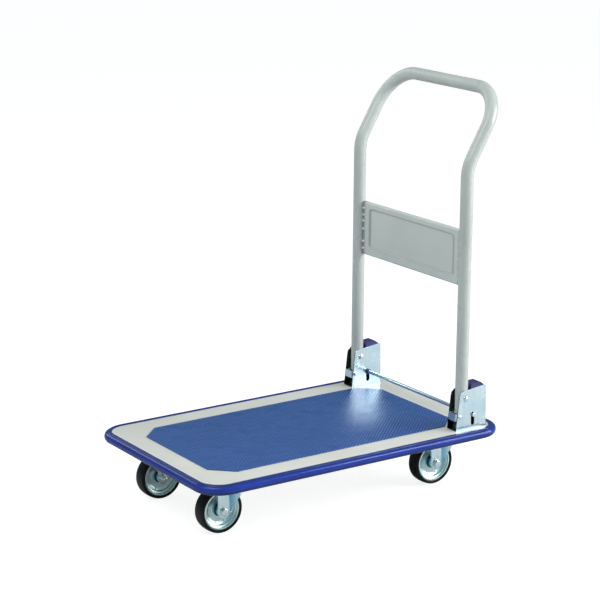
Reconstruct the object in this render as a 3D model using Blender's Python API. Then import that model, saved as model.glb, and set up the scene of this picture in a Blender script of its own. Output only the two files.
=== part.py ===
"""Folding platform cart: a pressed deck on four casters with a handle that folds forward over it.

Metres, +Z up, floor at z = 0. +X points along the deck towards the handle end. "Right" is the -Y side and
"left" the +Y side. A distance called "along" is measured in X from the middle of the deck, and one called
"rise" in Z from the deck's top face.
"""

import math

import bmesh
import bpy
import numpy as np
from mathutils import Vector

MM = 0.001
CLEAR = 0.3 * MM

# Deck
DECK_LENGTH = 740 * MM
DECK_WIDTH = 480 * MM
DECK_TOP = 137 * MM
DECK_CORNER = 60 * MM
PAN_SHEET = 1.6 * MM
PAN_EDGE = 3 * MM
PAN_FLANGE = 16.9 * MM
BUMPER_NOSE = 7.3 * MM
BUMPER_LIP = 9.2 * MM
BUMPER_LIP_RISE = 2.0 * MM
BUMPER_SKIRT = 18.5 * MM
BUMPER_HOOK = 5.7 * MM
MAT_SHEET = 1.2 * MM
MAT_BORDER_FRONT = 64 * MM
MAT_BORDER_REAR = 70 * MM
MAT_BORDER_SIDE = 70 * MM
MAT_CHAMFER = 44 * MM
RAIL_WIDTH = 96 * MM
RAIL_LIP = 14 * MM
RAIL_SHEET = 2 * MM
RAIL_END = 30 * MM

# Handle
TUBE = 27.2 * MM
TUBE_WALL = 1.6 * MM
POST_FROM_END = 90.1 * MM
POST_FROM_SIDE = 45 * MM
PIVOT_RISE = 68.3 * MM
POST_LEAN = 1.0
BEND_RISE = 562.5 * MM
BEND_RADIUS = 86 * MM
SLOPE_ANGLE = 31.1
BAR_RISE = 712.9 * MM
CORNER_RADIUS = 84.5 * MM
FOOT_DROP = 34.8 * MM
PLUG_FLANGE = 1.8 * MM
PLUG_DEPTH = 12 * MM
PANEL_LOW = 307.4 * MM
PANEL_HEIGHT = 120 * MM
PANEL_SHEET = 1.2 * MM
PANEL_RETURN = 9 * MM

# Hinge brackets
PLATE = 1.8 * MM
BRACKET_GAP = TUBE + 1.0 * MM
BRACKET_AHEAD = 25.4 * MM
BRACKET_LENGTH = 81.6 * MM
BRACKET_SLANT = 10.7 * MM
BRACKET_FRONT_RISE = 85.1 * MM
BRACKET_REAR_RISE = 94.3 * MM
BRACKET_BASE = 2 * MM
BRACKET_BEND = 5 * MM
BRACKET_BOLT = 8 * MM
BOLT_SPREAD = 50 * MM
PIVOT_PIN = 8 * MM
STOP_PIN = 6 * MM
PIN_HEAD = 2.6 * MM
STOP_AHEAD = 16 * MM
STOP_RISE = 30.2 * MM
STRAP_LOW = 21 * MM
STRAP_HEIGHT = 16 * MM
STRAP_SHEET = 1.6 * MM
STRAP_PROUD = 1.5 * MM
STRAP_ARM = 17 * MM
PAD_GAP = 0.8 * MM
PAD_LENGTH = 35 * MM
PAD_LOW = 83.8 * MM
PAD_PROUD = 10 * MM

# Lock
ROD = 8 * MM
ROD_BEHIND = 18.6 * MM
ROD_RISE = 30.7 * MM
ROD_PROUD = 5 * MM
ROD_TRAVEL = 18 * MM
SLOT_CLEAR = 0.5 * MM
SLOT_HEADROOM = 1.5 * MM
SPRING_WIRE = 1.2 * MM
SPRING_DIAMETER = 8.4 * MM
SPRING_TURNS = 4.5

# Casters
WHEEL = 97 * MM
TYRE_WIDTH = 31 * MM
TYRE_DEPTH = 7.6 * MM
HUB_HALF = 17.2 * MM
RIM_HALF = 14 * MM
AXLE_FROM_SIDE = 116.7 * MM
FRONT_AXLE_FROM_END = 90 * MM
KINGPIN_FROM_END = 90 * MM
TRAIL = 27.2 * MM
AXLE = 10 * MM
SLEEVE_WALL = 2 * MM
FORK_SHEET = 2.5 * MM
FORK_INSIDE = 39.6 * MM
FORK_END = 13.2 * MM
FORK_REACH = 57 * MM
FORK_SLANT = 47.5
CASTER_HEIGHT = 118 * MM
CASTER_PLATE = 3 * MM
CASTER_PLATE_LENGTH = 92 * MM
CASTER_PLATE_WIDTH = 80 * MM
RACE_GAP = 10.5 * MM
RACE_RADIUS = 19 * MM
CROWN_RADIUS = 30 * MM
KINGPIN = 12 * MM
AXLE_HEAD = 16 * MM
AXLE_HEAD_HEIGHT = 6 * MM

POST_ALONG = DECK_LENGTH / 2 - POST_FROM_END
BRACKET_FRONT = POST_ALONG - BRACKET_AHEAD
STOP_ALONG = POST_ALONG - STOP_AHEAD
FRONT_AXLE_ALONG = FRONT_AXLE_FROM_END - DECK_LENGTH / 2
REAR_AXLE_ALONG = DECK_LENGTH / 2 - KINGPIN_FROM_END - TRAIL
AXLE_Y = DECK_WIDTH / 2 - AXLE_FROM_SIDE
PIVOT_Z = DECK_TOP + PIVOT_RISE
SLOPE_RUN = (BAR_RISE - BEND_RISE) * math.tan(math.radians(SLOPE_ANGLE))
LEAN_RUN = (BEND_RISE - PIVOT_RISE) * math.tan(math.radians(POST_LEAN))
BAR_ALONG = POST_ALONG + LEAN_RUN + SLOPE_RUN
REAR_REACH = max(BAR_ALONG + TUBE / 2, DECK_LENGTH / 2)
DECK_X = (DECK_LENGTH / 2 - REAR_REACH) / 2
POST_X = DECK_X + POST_ALONG
POST_Y = DECK_WIDTH / 2 - POST_FROM_SIDE
BRACKET_HALF = BRACKET_GAP / 2 + PLATE
ROD_X = POST_X + ROD_BEHIND
ROD_Z = DECK_TOP + ROD_RISE
WHEEL_R = WHEEL / 2
FORK_HALF = FORK_INSIDE / 2 + FORK_SHEET


# ---- shared builders -------------------------------------------------------------------------------------

def clear_scene():
    for obj in list(bpy.data.objects):
        bpy.data.objects.remove(obj, do_unlink=True)


def material(name, colour, metallic, roughness):
    found = bpy.data.materials.get(name)
    if found:
        return found
    made = bpy.data.materials.new(name)
    made.use_nodes = True
    shader = made.node_tree.nodes["Principled BSDF"]
    shader.inputs["Base Color"].default_value = (*colour, 1)
    shader.inputs["Metallic"].default_value = metallic
    shader.inputs["Roughness"].default_value = roughness
    return made


PAINT_IVORY = ("paint_ivory", (0.72, 0.70, 0.62), 0.0, 0.35)
PAINT_GREY = ("paint_grey", (0.55, 0.60, 0.58), 0.0, 0.32)
ZINC = ("zinc", (0.75, 0.80, 0.84), 1.0, 0.25)
MAT_VINYL = ("mat_vinyl", (0.06, 0.11, 0.36), 0.0, 0.35)
BUMPER_VINYL = ("bumper_vinyl", (0.03, 0.05, 0.32), 0.0, 0.2)
PAD_RUBBER = ("pad_rubber", (0.05, 0.03, 0.14), 0.0, 0.5)
TYRE_RUBBER = ("tyre_rubber", (0.015, 0.015, 0.015), 0.0, 0.6)
SPRING_STEEL = ("spring_steel", (0.55, 0.56, 0.58), 1.0, 0.3)
PLUG_PLASTIC = ("plug_plastic", (0.03, 0.03, 0.03), 0.0, 0.5)


def add(name, points, faces, look, origin=(0, 0, 0), smooth=False):
    """A mesh object with its origin moved to a point of its joint axis."""
    mesh = bpy.data.meshes.new(name)
    shift = Vector(origin)
    mesh.from_pydata([tuple(Vector(p) - shift) for p in points], [], [tuple(map(int, f)) for f in faces])
    shell = bmesh.new()
    shell.from_mesh(mesh)
    bmesh.ops.recalc_face_normals(shell, faces=shell.faces)
    if shell.calc_volume(signed=True) < 0:
        bmesh.ops.reverse_faces(shell, faces=shell.faces)
    shell.to_mesh(mesh)
    shell.free()
    obj = bpy.data.objects.new(name, mesh)
    obj.location = origin
    bpy.context.scene.collection.objects.link(obj)
    if look:
        mesh.materials.append(material(*look))
    if smooth:
        mesh.shade_smooth()
        mesh.set_sharp_from_angle(angle=math.radians(35))
    return obj


def helper(obj):
    obj.hide_render = True
    obj.display_type = "WIRE"
    return obj


def combine(obj, other, operation):
    modifier = obj.modifiers.new(operation.lower(), "BOOLEAN")
    modifier.operation = operation
    modifier.solver = "EXACT"
    modifier.object = helper(other)
    return obj


def prism(name, outline, axis, low, high, look, origin=(0, 0, 0)):
    """A flat outline carried straight along one axis. For axis Y the outline is (x, z), for Z it is (x, y)."""
    place = {"X": lambda a, b, t: (t, a, b), "Y": lambda a, b, t: (a, t, b), "Z": lambda a, b, t: (a, b, t)}[axis]
    count = len(outline)
    points = [place(a, b, low) for a, b in outline] + [place(a, b, high) for a, b in outline]
    faces = [tuple(range(count)), tuple(range(2 * count - 1, count - 1, -1))]
    faces += [(i, (i + 1) % count, count + (i + 1) % count, count + i) for i in range(count)]
    return add(name, points, faces, look, origin)


def block(name, low, high, look):
    outline = [(low[0], low[1]), (high[0], low[1]), (high[0], high[1]), (low[0], high[1])]
    return prism(name, outline, "Z", low[2], high[2], look)


def turned(name, profile, axis, centre, look, steps=24, start=0.0, origin=None):
    """A closed profile of (radius, along) points turned about an axis through the centre."""
    rings = []
    points = []
    for radius, along in profile:
        if radius <= 0:
            rings.append([len(points)] * steps)
            around = [0.0]
        else:
            rings.append(list(range(len(points), len(points) + steps)))
            around = [start + 2 * math.pi * k / steps for k in range(steps)]
        for angle in around:
            a = radius * math.cos(angle)
            b = radius * math.sin(angle)
            local = {"Y": (a, along, b), "Z": (a, b, along)}[axis]
            points.append([centre[i] + local[i] for i in range(3)])
    faces = []
    for i, ring in enumerate(rings):
        following = rings[(i + 1) % len(rings)]
        for k in range(steps):
            n = (k + 1) % steps
            corners = [ring[k], ring[n], following[n], following[k]]
            corners = list(dict.fromkeys(corners))
            if len(corners) > 2:
                faces.append(corners)
    return add(name, points, faces, look, origin or (0, 0, 0), smooth=True)


def cylinder(name, radius, axis, centre, low, high, look=None, steps=24, start=0.0):
    profile = [(0, low), (radius, low), (radius, high), (0, high)]
    return turned(name, profile, axis, centre, look, steps, start)


def rounded_corner(before, corner, after, radius, steps):
    """Points of the arc that rounds a corner of a path, in two or three dimensions."""
    corner = np.array(corner, float)
    u = np.array(before, float) - corner
    w = np.array(after, float) - corner
    u /= np.linalg.norm(u)
    w /= np.linalg.norm(w)
    half = math.acos(float(np.clip(u @ w, -1, 1))) / 2
    centre = corner + (u + w) / np.linalg.norm(u + w) * radius / math.sin(half)
    first = corner + u * radius / math.tan(half) - centre
    last = corner + w * radius / math.tan(half) - centre
    turn = math.pi - 2 * half
    share = np.linspace(0, 1, steps + 1)[:, None]
    return centre + (np.sin((1 - share) * turn) * first + np.sin(share * turn) * last) / math.sin(turn)


def rounded_path(corners, radii, steps):
    """An open path through corners, each inner corner rounded by its own radius."""
    pieces = [np.array([corners[0]], float)]
    for i, radius in enumerate(radii, start=1):
        pieces.append(rounded_corner(corners[i - 1], corners[i], corners[i + 1], radius, steps))
    pieces.append(np.array([corners[-1]], float))
    return np.concatenate(pieces)


def rounded_outline(corners, radii, steps=4):
    """A closed outline, each corner rounded by its own radius. Zero leaves it sharp."""
    points = []
    count = len(corners)
    for i, radius in enumerate(radii):
        if radius:
            arc = rounded_corner(corners[i - 1], corners[i], corners[(i + 1) % count], radius, steps)
            points.extend(map(tuple, arc))
        else:
            points.append(tuple(corners[i]))
    return points


def deck_loop(inset, z, steps=6):
    """The deck's outline drawn in by an inset, as one level loop at height z."""
    half = np.array([DECK_LENGTH / 2 - inset, DECK_WIDTH / 2 - inset])
    radius = DECK_CORNER - inset
    points = []
    for quarter, (sx, sy) in enumerate(((1, 1), (-1, 1), (-1, -1), (1, -1))):
        for k in range(steps + 1):
            angle = math.pi / 2 * (quarter + k / steps)
            x = DECK_X + sx * (half[0] - radius) + radius * math.cos(angle)
            y = sy * (half[1] - radius) + radius * math.sin(angle)
            points.append((x, y, z))
    return points


def loops_to_faces(loops, closed):
    count = len(loops[0])
    pairs = len(loops) if closed else len(loops) - 1
    faces = []
    for i in range(pairs):
        a = i * count
        b = (i + 1) % len(loops) * count
        faces += [(a + k, a + (k + 1) % count, b + (k + 1) % count, b + k) for k in range(count)]
    return faces


def swept(path, radius, sides, start=0.0):
    """Rings of points round a path, each square to it and none twisted against the one before."""
    path = np.array(path, float)
    tangent = np.gradient(path, axis=0)
    tangent[0] = path[1] - path[0]
    tangent[-1] = path[-1] - path[-2]
    for i in range(1, len(path) - 1):
        a = path[i] - path[i - 1]
        b = path[i + 1] - path[i]
        tangent[i] = a / np.linalg.norm(a) + b / np.linalg.norm(b)
    tangent /= np.linalg.norm(tangent, axis=1)[:, None]
    side = np.cross(tangent[0], (0.3, 1.0, 0.2))
    rings = []
    for point, along in zip(path, tangent):
        side = side - along * (side @ along)
        side /= np.linalg.norm(side)
        other = np.cross(along, side)
        angle = start + np.arange(sides) * 2 * math.pi / sides
        rings.append(point + radius * (np.cos(angle)[:, None] * side + np.sin(angle)[:, None] * other))
    return rings


# ---- deck ------------------------------------------------------------------------------------------------

def make_pan():
    """Pressed tray: flat top, rounded edge, turned-down flange, open below."""
    edge = BUMPER_NOSE + CLEAR
    bow = PAN_EDGE * (1 - math.sqrt(0.5))
    inner = PAN_EDGE - PAN_SHEET
    inner_bow = PAN_SHEET + inner * (1 - math.sqrt(0.5))
    section = [
        (PAN_EDGE, 0),
        (bow, -bow),
        (0, -PAN_EDGE),
        (0, -PAN_FLANGE),
        (PAN_SHEET, -PAN_FLANGE),
        (PAN_SHEET, -PAN_EDGE),
        (inner_bow, -inner_bow),
        (PAN_EDGE, -PAN_SHEET),
    ]
    loops = [deck_loop(edge + inset, DECK_TOP + z) for inset, z in section]
    count = len(loops[0])
    faces = loops_to_faces(loops, closed=False)
    last = (len(loops) - 1) * count
    faces += [tuple(range(count)), tuple(range(last + count - 1, last - 1, -1))]
    return add("deck_pan", [p for loop in loops for p in loop], faces, PAINT_IVORY)


def make_bumper():
    """Vinyl edging: a lip over the tray, a round nose, and a hook under the flange."""
    nose = BUMPER_NOSE
    lip = nose + BUMPER_LIP
    rise = BUMPER_LIP_RISE
    middle = BUMPER_SKIRT / 2
    under = PAN_FLANGE + CLEAR
    section = [
        (lip, CLEAR),
        (lip, rise / 2),
        (lip - rise / 2, rise * 0.85),
        (nose + 2.2 * MM, rise),
        (nose + 0.4 * MM, rise * 0.6),
        (nose - 1.0 * MM, 0),
        (nose * 0.5, -middle * 0.16),
        (nose * 0.14, -middle * 0.52),
        (0, -middle),
        (nose * 0.14, -middle * 1.42),
        (nose * 0.46, -middle * 1.76),
        (nose * 0.9, -middle * 1.96),
        (nose + BUMPER_HOOK * 0.3, -BUMPER_SKIRT),
        (nose + BUMPER_HOOK, -BUMPER_SKIRT),
        (nose + BUMPER_HOOK, -under),
        (nose, -under),
        (nose, -PAN_EDGE * 0.85),
        (nose + PAN_EDGE * 0.2, -PAN_EDGE * 0.3),
        (nose + PAN_EDGE * 0.9, CLEAR),
    ]
    loops = [deck_loop(inset, DECK_TOP + z) for inset, z in section]
    faces = loops_to_faces(loops, closed=True)
    return add("edge_bumper", [p for loop in loops for p in loop], faces, BUMPER_VINYL, smooth=True)


def make_mat():
    x0 = DECK_X - DECK_LENGTH / 2 + MAT_BORDER_FRONT
    x1 = DECK_X + DECK_LENGTH / 2 - MAT_BORDER_REAR
    y = DECK_WIDTH / 2 - MAT_BORDER_SIDE
    c = MAT_CHAMFER
    outline = [(x0 + c, -y), (x1 - c, -y), (x1, c - y), (x1, y - c), (x1 - c, y), (x0 + c, y), (x0, y - c), (x0, c - y)]
    low = DECK_TOP + CLEAR
    return prism("deck_mat", outline, "Z", low, low + MAT_SHEET, MAT_VINYL)


def make_rail(name, along):
    """Hat channel across the underside of the tray that the casters bolt to."""
    top = DECK_TOP - PAN_SHEET - CLEAR
    low = CASTER_HEIGHT + CLEAR
    x = DECK_X + along
    half = RAIL_WIDTH / 2
    s = RAIL_SHEET
    wide = half + RAIL_LIP
    outline = [
        (x - wide, top), (x - wide, top - s), (x - half, top - s), (x - half, low), (x + half, low),
        (x + half, top - s), (x + wide, top - s), (x + wide, top), (x + half - s, top), (x + half - s, low + s),
        (x - half + s, low + s), (x - half + s, top),
    ]
    reach = AXLE_Y + CASTER_PLATE_WIDTH / 2 + RAIL_END
    return prism(name, outline, "Y", -reach, reach, PAINT_IVORY)


# ---- handle ----------------------------------------------------------------------------------------------

def post_x(z):
    """X of the post's axis at a height, as it leans back from the pivot."""
    return POST_X + (z - PIVOT_Z) * math.tan(math.radians(POST_LEAN))


def handle_path():
    low = PIVOT_Z - (FOOT_DROP - PLUG_FLANGE)
    bend = DECK_TOP + BEND_RISE
    bar = DECK_TOP + BAR_RISE
    side = [(post_x(low), POST_Y, low), (post_x(bend), POST_Y, bend), (DECK_X + BAR_ALONG, POST_Y, bar)]
    corners = side + [(x, -y, z) for x, y, z in reversed(side)]
    return rounded_path(corners, [BEND_RADIUS, CORNER_RADIUS, CORNER_RADIUS, BEND_RADIUS], 7)


def make_handle_tube():
    """One length of tube bent into posts and cross bar, open at both feet, drilled for the pivot rivets."""
    path = handle_path()
    sides = 16
    rings = swept(path, TUBE / 2, sides) + swept(path, TUBE / 2 - TUBE_WALL, sides)[::-1]
    faces = loops_to_faces(rings, closed=True)
    tube = add("handle_tube", np.concatenate(rings), faces, PAINT_GREY, (POST_X, 0, PIVOT_Z), smooth=True)
    for side in (-1, 1):
        centre = (POST_X, side * POST_Y, PIVOT_Z)
        drill = cylinder("drill", PIVOT_PIN / 2 + CLEAR, "Y", centre, -TUBE, TUBE, steps=16)
        combine(tube, drill, "DIFFERENCE")
    return tube


def make_handle_panel():
    """Pressed sheet between the posts with its long edges turned back."""
    low = DECK_TOP + PANEL_LOW
    high = low + PANEL_HEIGHT
    s = PANEL_SHEET
    front = -s / 2
    back = front + PANEL_RETURN
    z = (low + high) / 2
    x = post_x(z)
    half = PANEL_HEIGHT / 2
    local = [
        (front, -half), (back, -half), (back, -half + s), (front + s, -half + s),
        (front + s, half - s), (back, half - s), (back, half), (front, half),
    ]
    lean = math.radians(POST_LEAN)
    turned_points = [
        (x + a * math.cos(lean) + b * math.sin(lean), z + b * math.cos(lean) - a * math.sin(lean)) for a, b in local
    ]
    reach = POST_Y - TUBE / 2 - CLEAR
    return prism("handle_panel", turned_points, "Y", -reach, reach, PAINT_GREY, (POST_X, 0, PIVOT_Z))


def make_plug(name, side):
    """Moulded plug that closes a post's foot."""
    low = PIVOT_Z - FOOT_DROP
    bore = TUBE / 2 - TUBE_WALL - 2 * CLEAR
    profile = [
        (0, 0), (TUBE / 2 - 1.0 * MM, 0), (TUBE / 2 - 0.6 * MM, PLUG_FLANGE - CLEAR), (bore, PLUG_FLANGE - CLEAR),
        (bore, PLUG_DEPTH), (0, PLUG_DEPTH),
    ]
    centre = (post_x(low), side * POST_Y, low)
    return turned(name, profile, "Z", centre, PLUG_PLASTIC, 20, origin=(POST_X, 0, PIVOT_Z))


# ---- hinge brackets --------------------------------------------------------------------------------------

def bracket_outline():
    """Side view of a bracket: slanting front, top rising to the rear, two rounded corners."""
    x0 = DECK_X + BRACKET_FRONT
    x1 = x0 + BRACKET_LENGTH
    low = DECK_TOP + CLEAR
    corners = [
        (x0, low), (x1, low), (x1, DECK_TOP + BRACKET_REAR_RISE),
        (x0 + BRACKET_SLANT, DECK_TOP + BRACKET_FRONT_RISE),
    ]
    return rounded_outline(corners, [0, 0, 8 * MM, 14 * MM], 4)


def make_bracket(name, side):
    """Steel folded to a U round the back of the post, with a base, cross holes and a slot for the lock rod."""
    y = side * POST_Y
    x0 = DECK_X + BRACKET_FRONT - 2 * MM
    x1 = DECK_X + BRACKET_FRONT + BRACKET_LENGTH
    low = DECK_TOP + CLEAR
    inner = BRACKET_GAP / 2
    outer = BRACKET_HALF
    bend = BRACKET_BEND
    outside = rounded_outline([(x0, y - outer), (x1, y - outer), (x1, y + outer), (x0, y + outer)], [0, bend, bend, 0])
    wall = x1 - PLATE
    inside = rounded_outline(
        [(x0, y + inner), (wall, y + inner), (wall, y - inner), (x0, y - inner)], [0, bend - PLATE, bend - PLATE, 0]
    )
    bracket = prism(name, outside + inside, "Z", low, DECK_TOP + BRACKET_REAR_RISE + 3 * MM, ZINC)
    base = block(
        "base", (x0, y - inner - PLATE / 2, low), (wall + PLATE / 2, y + inner + PLATE / 2, low + BRACKET_BASE), ZINC
    )
    combine(bracket, base, "UNION")
    trim = prism("trim", bracket_outline(), "Y", y - 2 * outer, y + 2 * outer, ZINC)
    combine(bracket, trim, "INTERSECT")
    reach = 2 * outer
    pins = (
        ((POST_X, y, PIVOT_Z), PIVOT_PIN),
        ((DECK_X + STOP_ALONG, y, DECK_TOP + STOP_RISE), STOP_PIN),
    )
    for centre, pin in pins:
        combine(bracket, cylinder("drill", pin / 2 + CLEAR, "Y", centre, -reach, reach, steps=16), "DIFFERENCE")
    half = ROD / 2 + SLOT_CLEAR
    slot = rounded_outline(
        [
            (ROD_X - half, ROD_Z - ROD_TRAVEL - half),
            (ROD_X + half, ROD_Z - ROD_TRAVEL - half),
            (ROD_X + half, ROD_Z + half + SLOT_HEADROOM),
            (ROD_X - half, ROD_Z + half + SLOT_HEADROOM),
        ],
        [half * 0.98] * 4,
    )
    combine(bracket, prism("slot", slot, "Y", y - reach, y + reach, ZINC), "DIFFERENCE")
    for x in bolt_places():
        centre = (x, y, low)
        drill = cylinder("drill", BRACKET_BOLT / 2 + CLEAR, "Z", centre, -5 * MM, 5 * MM, steps=16)
        combine(bracket, drill, "DIFFERENCE")
    return bracket


def bolt_places():
    middle = DECK_X + BRACKET_FRONT + BRACKET_LENGTH / 2 + 2 * MM
    return (middle - BOLT_SPREAD / 2, middle + BOLT_SPREAD / 2)


def make_bracket_bolt(name, x, side):
    """Hexagon bolt head and shank down to the face of the tray."""
    low = DECK_TOP + CLEAR + BRACKET_BASE
    shank = BRACKET_BOLT / 2
    head = 7.4 * MM
    profile = [(0, CLEAR - BRACKET_BASE), (shank, CLEAR - BRACKET_BASE), (shank, CLEAR), (head, CLEAR), (head, 5.3 * MM),
               (head - 0.8 * MM, 5.9 * MM), (0, 5.9 * MM)]
    return turned(name, profile, "Z", (x, side * POST_Y, low), ZINC, 12)


def make_strap(name, side):
    """U of strip between the plates that closes the lower front of a bracket."""
    y = side * POST_Y
    x0 = DECK_X + BRACKET_FRONT + BRACKET_SLANT * STRAP_LOW / BRACKET_FRONT_RISE - STRAP_PROUD
    x1 = x0 + STRAP_ARM
    outer = BRACKET_GAP / 2 - CLEAR
    inner = outer - STRAP_SHEET
    s = STRAP_SHEET
    bend = 3.5 * MM
    outline = rounded_outline(
        [
            (x1, y - outer), (x1, y - inner), (x0 + s, y - inner), (x0 + s, y + inner),
            (x1, y + inner), (x1, y + outer), (x0, y + outer), (x0, y - outer),
        ],
        [0, 0, bend - s, bend - s, 0, 0, bend, bend], 3,
    )
    low = DECK_TOP + STRAP_LOW
    strap = prism(name, outline, "Z", low, low + STRAP_HEIGHT, ZINC)
    centre = (DECK_X + STOP_ALONG, y, DECK_TOP + STOP_RISE)
    drill = cylinder("drill", STOP_PIN / 2 + CLEAR, "Y", centre, -2 * outer, 2 * outer, steps=16)
    return combine(strap, drill, "DIFFERENCE")


def make_pin(name, diameter, head, x, side, z):
    """Rivet right through a bracket, a domed head at each side."""
    grip = BRACKET_HALF + CLEAR
    r = diameter / 2
    profile = [
        (0, -grip - PIN_HEAD), (head * 0.55, -grip - PIN_HEAD * 0.86), (head * 0.87, -grip - PIN_HEAD * 0.5),
        (head, -grip), (r, -grip), (r, grip), (head, grip), (head * 0.87, grip + PIN_HEAD * 0.5),
        (head * 0.55, grip + PIN_HEAD * 0.86), (0, grip + PIN_HEAD),
    ]
    return turned(name, profile, "Y", (x, side * POST_Y, z), ZINC, 12)


def make_pad(name, side):
    """Rubber buffer held between the plates behind the post."""
    y = side * POST_Y
    half = BRACKET_GAP / 2 - CLEAR
    low = DECK_TOP + PAD_LOW
    x0 = post_x(low + PAD_PROUD) + TUBE / 2 + PAD_GAP
    x1 = x0 + PAD_LENGTH
    front = DECK_TOP + BRACKET_FRONT_RISE + PAD_PROUD
    top = front + 4.4 * MM
    outline = rounded_outline(
        [(x0, low), (x1, low), (x1, front - 3 * MM), (x0 + PAD_LENGTH * 0.73, top), (x0 + 2 * MM, top - 1.5 * MM),
         (x0, front - 1 * MM)],
        [0, 0, 2 * MM, 2 * MM, 0, 0], 3,
    )
    return prism(name, outline, "Y", y - half, y + half, PAD_RUBBER)


# ---- lock ------------------------------------------------------------------------------------------------

def make_rod():
    reach = POST_Y + BRACKET_HALF + ROD_PROUD
    r = ROD / 2
    ease = 0.8 * MM
    profile = [(0, -reach), (r - ease, -reach), (r, ease - reach), (r, reach - ease), (r - ease, reach), (0, reach)]
    return turned("lock_rod", profile, "Y", (ROD_X, 0, ROD_Z), ZINC, 20, origin=(ROD_X, 0, ROD_Z))


def make_spring(name, side):
    """Compression spring from a bracket's base up to the lock rod."""
    low = DECK_TOP + CLEAR + BRACKET_BASE + CLEAR + SPRING_WIRE / 2
    high = ROD_Z - ROD / 2 - CLEAR - SPRING_WIRE / 2
    radius = (SPRING_DIAMETER - SPRING_WIRE) / 2
    steps = int(SPRING_TURNS * 10)
    turn = np.linspace(0, SPRING_TURNS * 2 * math.pi, steps + 1)
    rise = np.clip((turn - 4.2) / (turn[-1] - 8.4), 0, 1) * (high - low)
    creep = SPRING_WIRE * 1.1 * (np.minimum(turn, 4.2) / 4.2 + np.maximum(turn - turn[-1] + 4.2, 0) / 4.2)
    rise = rise * (high - low - 2.2 * SPRING_WIRE) / (high - low) + creep
    path = np.stack([ROD_X + radius * np.cos(turn), side * POST_Y + radius * np.sin(turn), low + rise], axis=1)
    sides = 5
    rings = swept(path, SPRING_WIRE / 2, sides)
    faces = loops_to_faces(rings, closed=False)
    last = (len(rings) - 1) * sides
    faces += [tuple(range(sides)), tuple(range(last + sides - 1, last - 1, -1))]
    return add(name, np.concatenate(rings), faces, SPRING_STEEL, (ROD_X, side * POST_Y, low), smooth=True)


# ---- casters ---------------------------------------------------------------------------------------------

def leg_outline(x, top):
    """Side view of a fork leg: round end about the axle, upright front edge, rear edge sweeping out and up."""
    r = FORK_END
    slant = math.radians(FORK_SLANT)
    arc = [math.radians(a) for a in np.linspace(180, 360 - (90 - FORK_SLANT), 9)]
    points = [(x + r * math.cos(a), WHEEL_R + r * math.sin(a)) for a in arc]
    foot = r / math.sin(slant)
    knee = (FORK_REACH - foot) * math.tan(slant)
    knee = min(knee, top - WHEEL_R - 6 * MM)
    reach = foot + knee / math.tan(slant)
    points += [(x + reach, WHEEL_R + knee), (x + reach, top), (x - r, top)]
    return points


def make_leg(name, x, y, out, top, origin):
    """One leg, its rear wing curved in towards the wheel."""
    inside = FORK_INSIDE / 2
    leg = prism(name, leg_outline(x, top), "Y", inside, inside + FORK_SHEET, ZINC, origin)
    shell = bmesh.new()
    shell.from_mesh(leg.data)
    for cut in (10, 20, 30, 40, 50):
        where = Vector((x + cut * MM - origin[0], 0, 0))
        whole = shell.verts[:] + shell.edges[:] + shell.faces[:]
        bmesh.ops.bisect_plane(shell, geom=whole, plane_co=where, plane_no=(1, 0, 0))
    for vert in shell.verts:
        beyond = max(vert.co.x + origin[0] - x - 10 * MM, 0)
        vert.co.y = y - origin[1] + out * (vert.co.y + origin[1] - 2.5 * beyond**2)
    bmesh.ops.recalc_face_normals(shell, faces=shell.faces)
    shell.to_mesh(leg.data)
    shell.free()
    return leg


def make_fork(name, x, y, swivels):
    """Pressed fork: a crown that turns under a top plate, or the plate itself on a fixed caster."""
    king = x + TRAIL
    origin = (king, y, CASTER_HEIGHT)
    drill_reach = 2 * FORK_HALF
    if swivels:
        top = CASTER_HEIGHT - CASTER_PLATE - RACE_GAP
        crown = cylinder(name, CROWN_RADIUS, "Z", (king, y, top - FORK_SHEET), 0, FORK_SHEET, ZINC, 32)
        saddle = block(
            "saddle", (x - FORK_END, y - FORK_INSIDE / 2 - FORK_SHEET / 2, top - FORK_SHEET),
            (king + FORK_END, y + FORK_INSIDE / 2 + FORK_SHEET / 2, top), ZINC,
        )
        combine(crown, saddle, "UNION")
        hole = cylinder("hole", KINGPIN / 2 + CLEAR, "Z", (king, y, top), -4 * FORK_SHEET, 2 * FORK_SHEET, steps=20)
    else:
        top = CASTER_HEIGHT
        half_x = CASTER_PLATE_LENGTH / 2
        half_y = CASTER_PLATE_WIDTH / 2
        middle = x + (FORK_REACH - FORK_END) / 2
        crown = block(
            name, (middle - half_x, y - half_y, top - FORK_SHEET), (middle + half_x, y + half_y, top), ZINC
        )
        hole = None
    for out in (-1, 1):
        leg_origin = (x, y, WHEEL_R)
        leg = make_leg("leg", x, y, out, top - FORK_SHEET / 3, leg_origin)
        combine(crown, leg, "UNION")
    if hole:
        combine(crown, hole, "DIFFERENCE")
    axle = cylinder("axle_hole", AXLE / 2 + CLEAR, "Y", (x, y, WHEEL_R), -drill_reach, drill_reach, steps=16)
    combine(crown, axle, "DIFFERENCE")
    return crown


def make_plate(name, x, y):
    """Top plate of a swivel caster, bored for the kingpin."""
    king = x + TRAIL
    low = CASTER_HEIGHT - CASTER_PLATE
    half_x = CASTER_PLATE_LENGTH / 2
    half_y = CASTER_PLATE_WIDTH / 2
    corners = [(king - half_x, y - half_y), (king + half_x, y - half_y), (king + half_x, y + half_y), (king - half_x, y + half_y)]
    plate = prism(name, rounded_outline(corners, [6 * MM] * 4, 3), "Z", low, CASTER_HEIGHT, ZINC)
    hole = cylinder("hole", KINGPIN / 2 + CLEAR, "Z", (king, y, low), -FORK_SHEET, 2 * CASTER_PLATE, steps=20)
    return combine(plate, hole, "DIFFERENCE")


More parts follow.
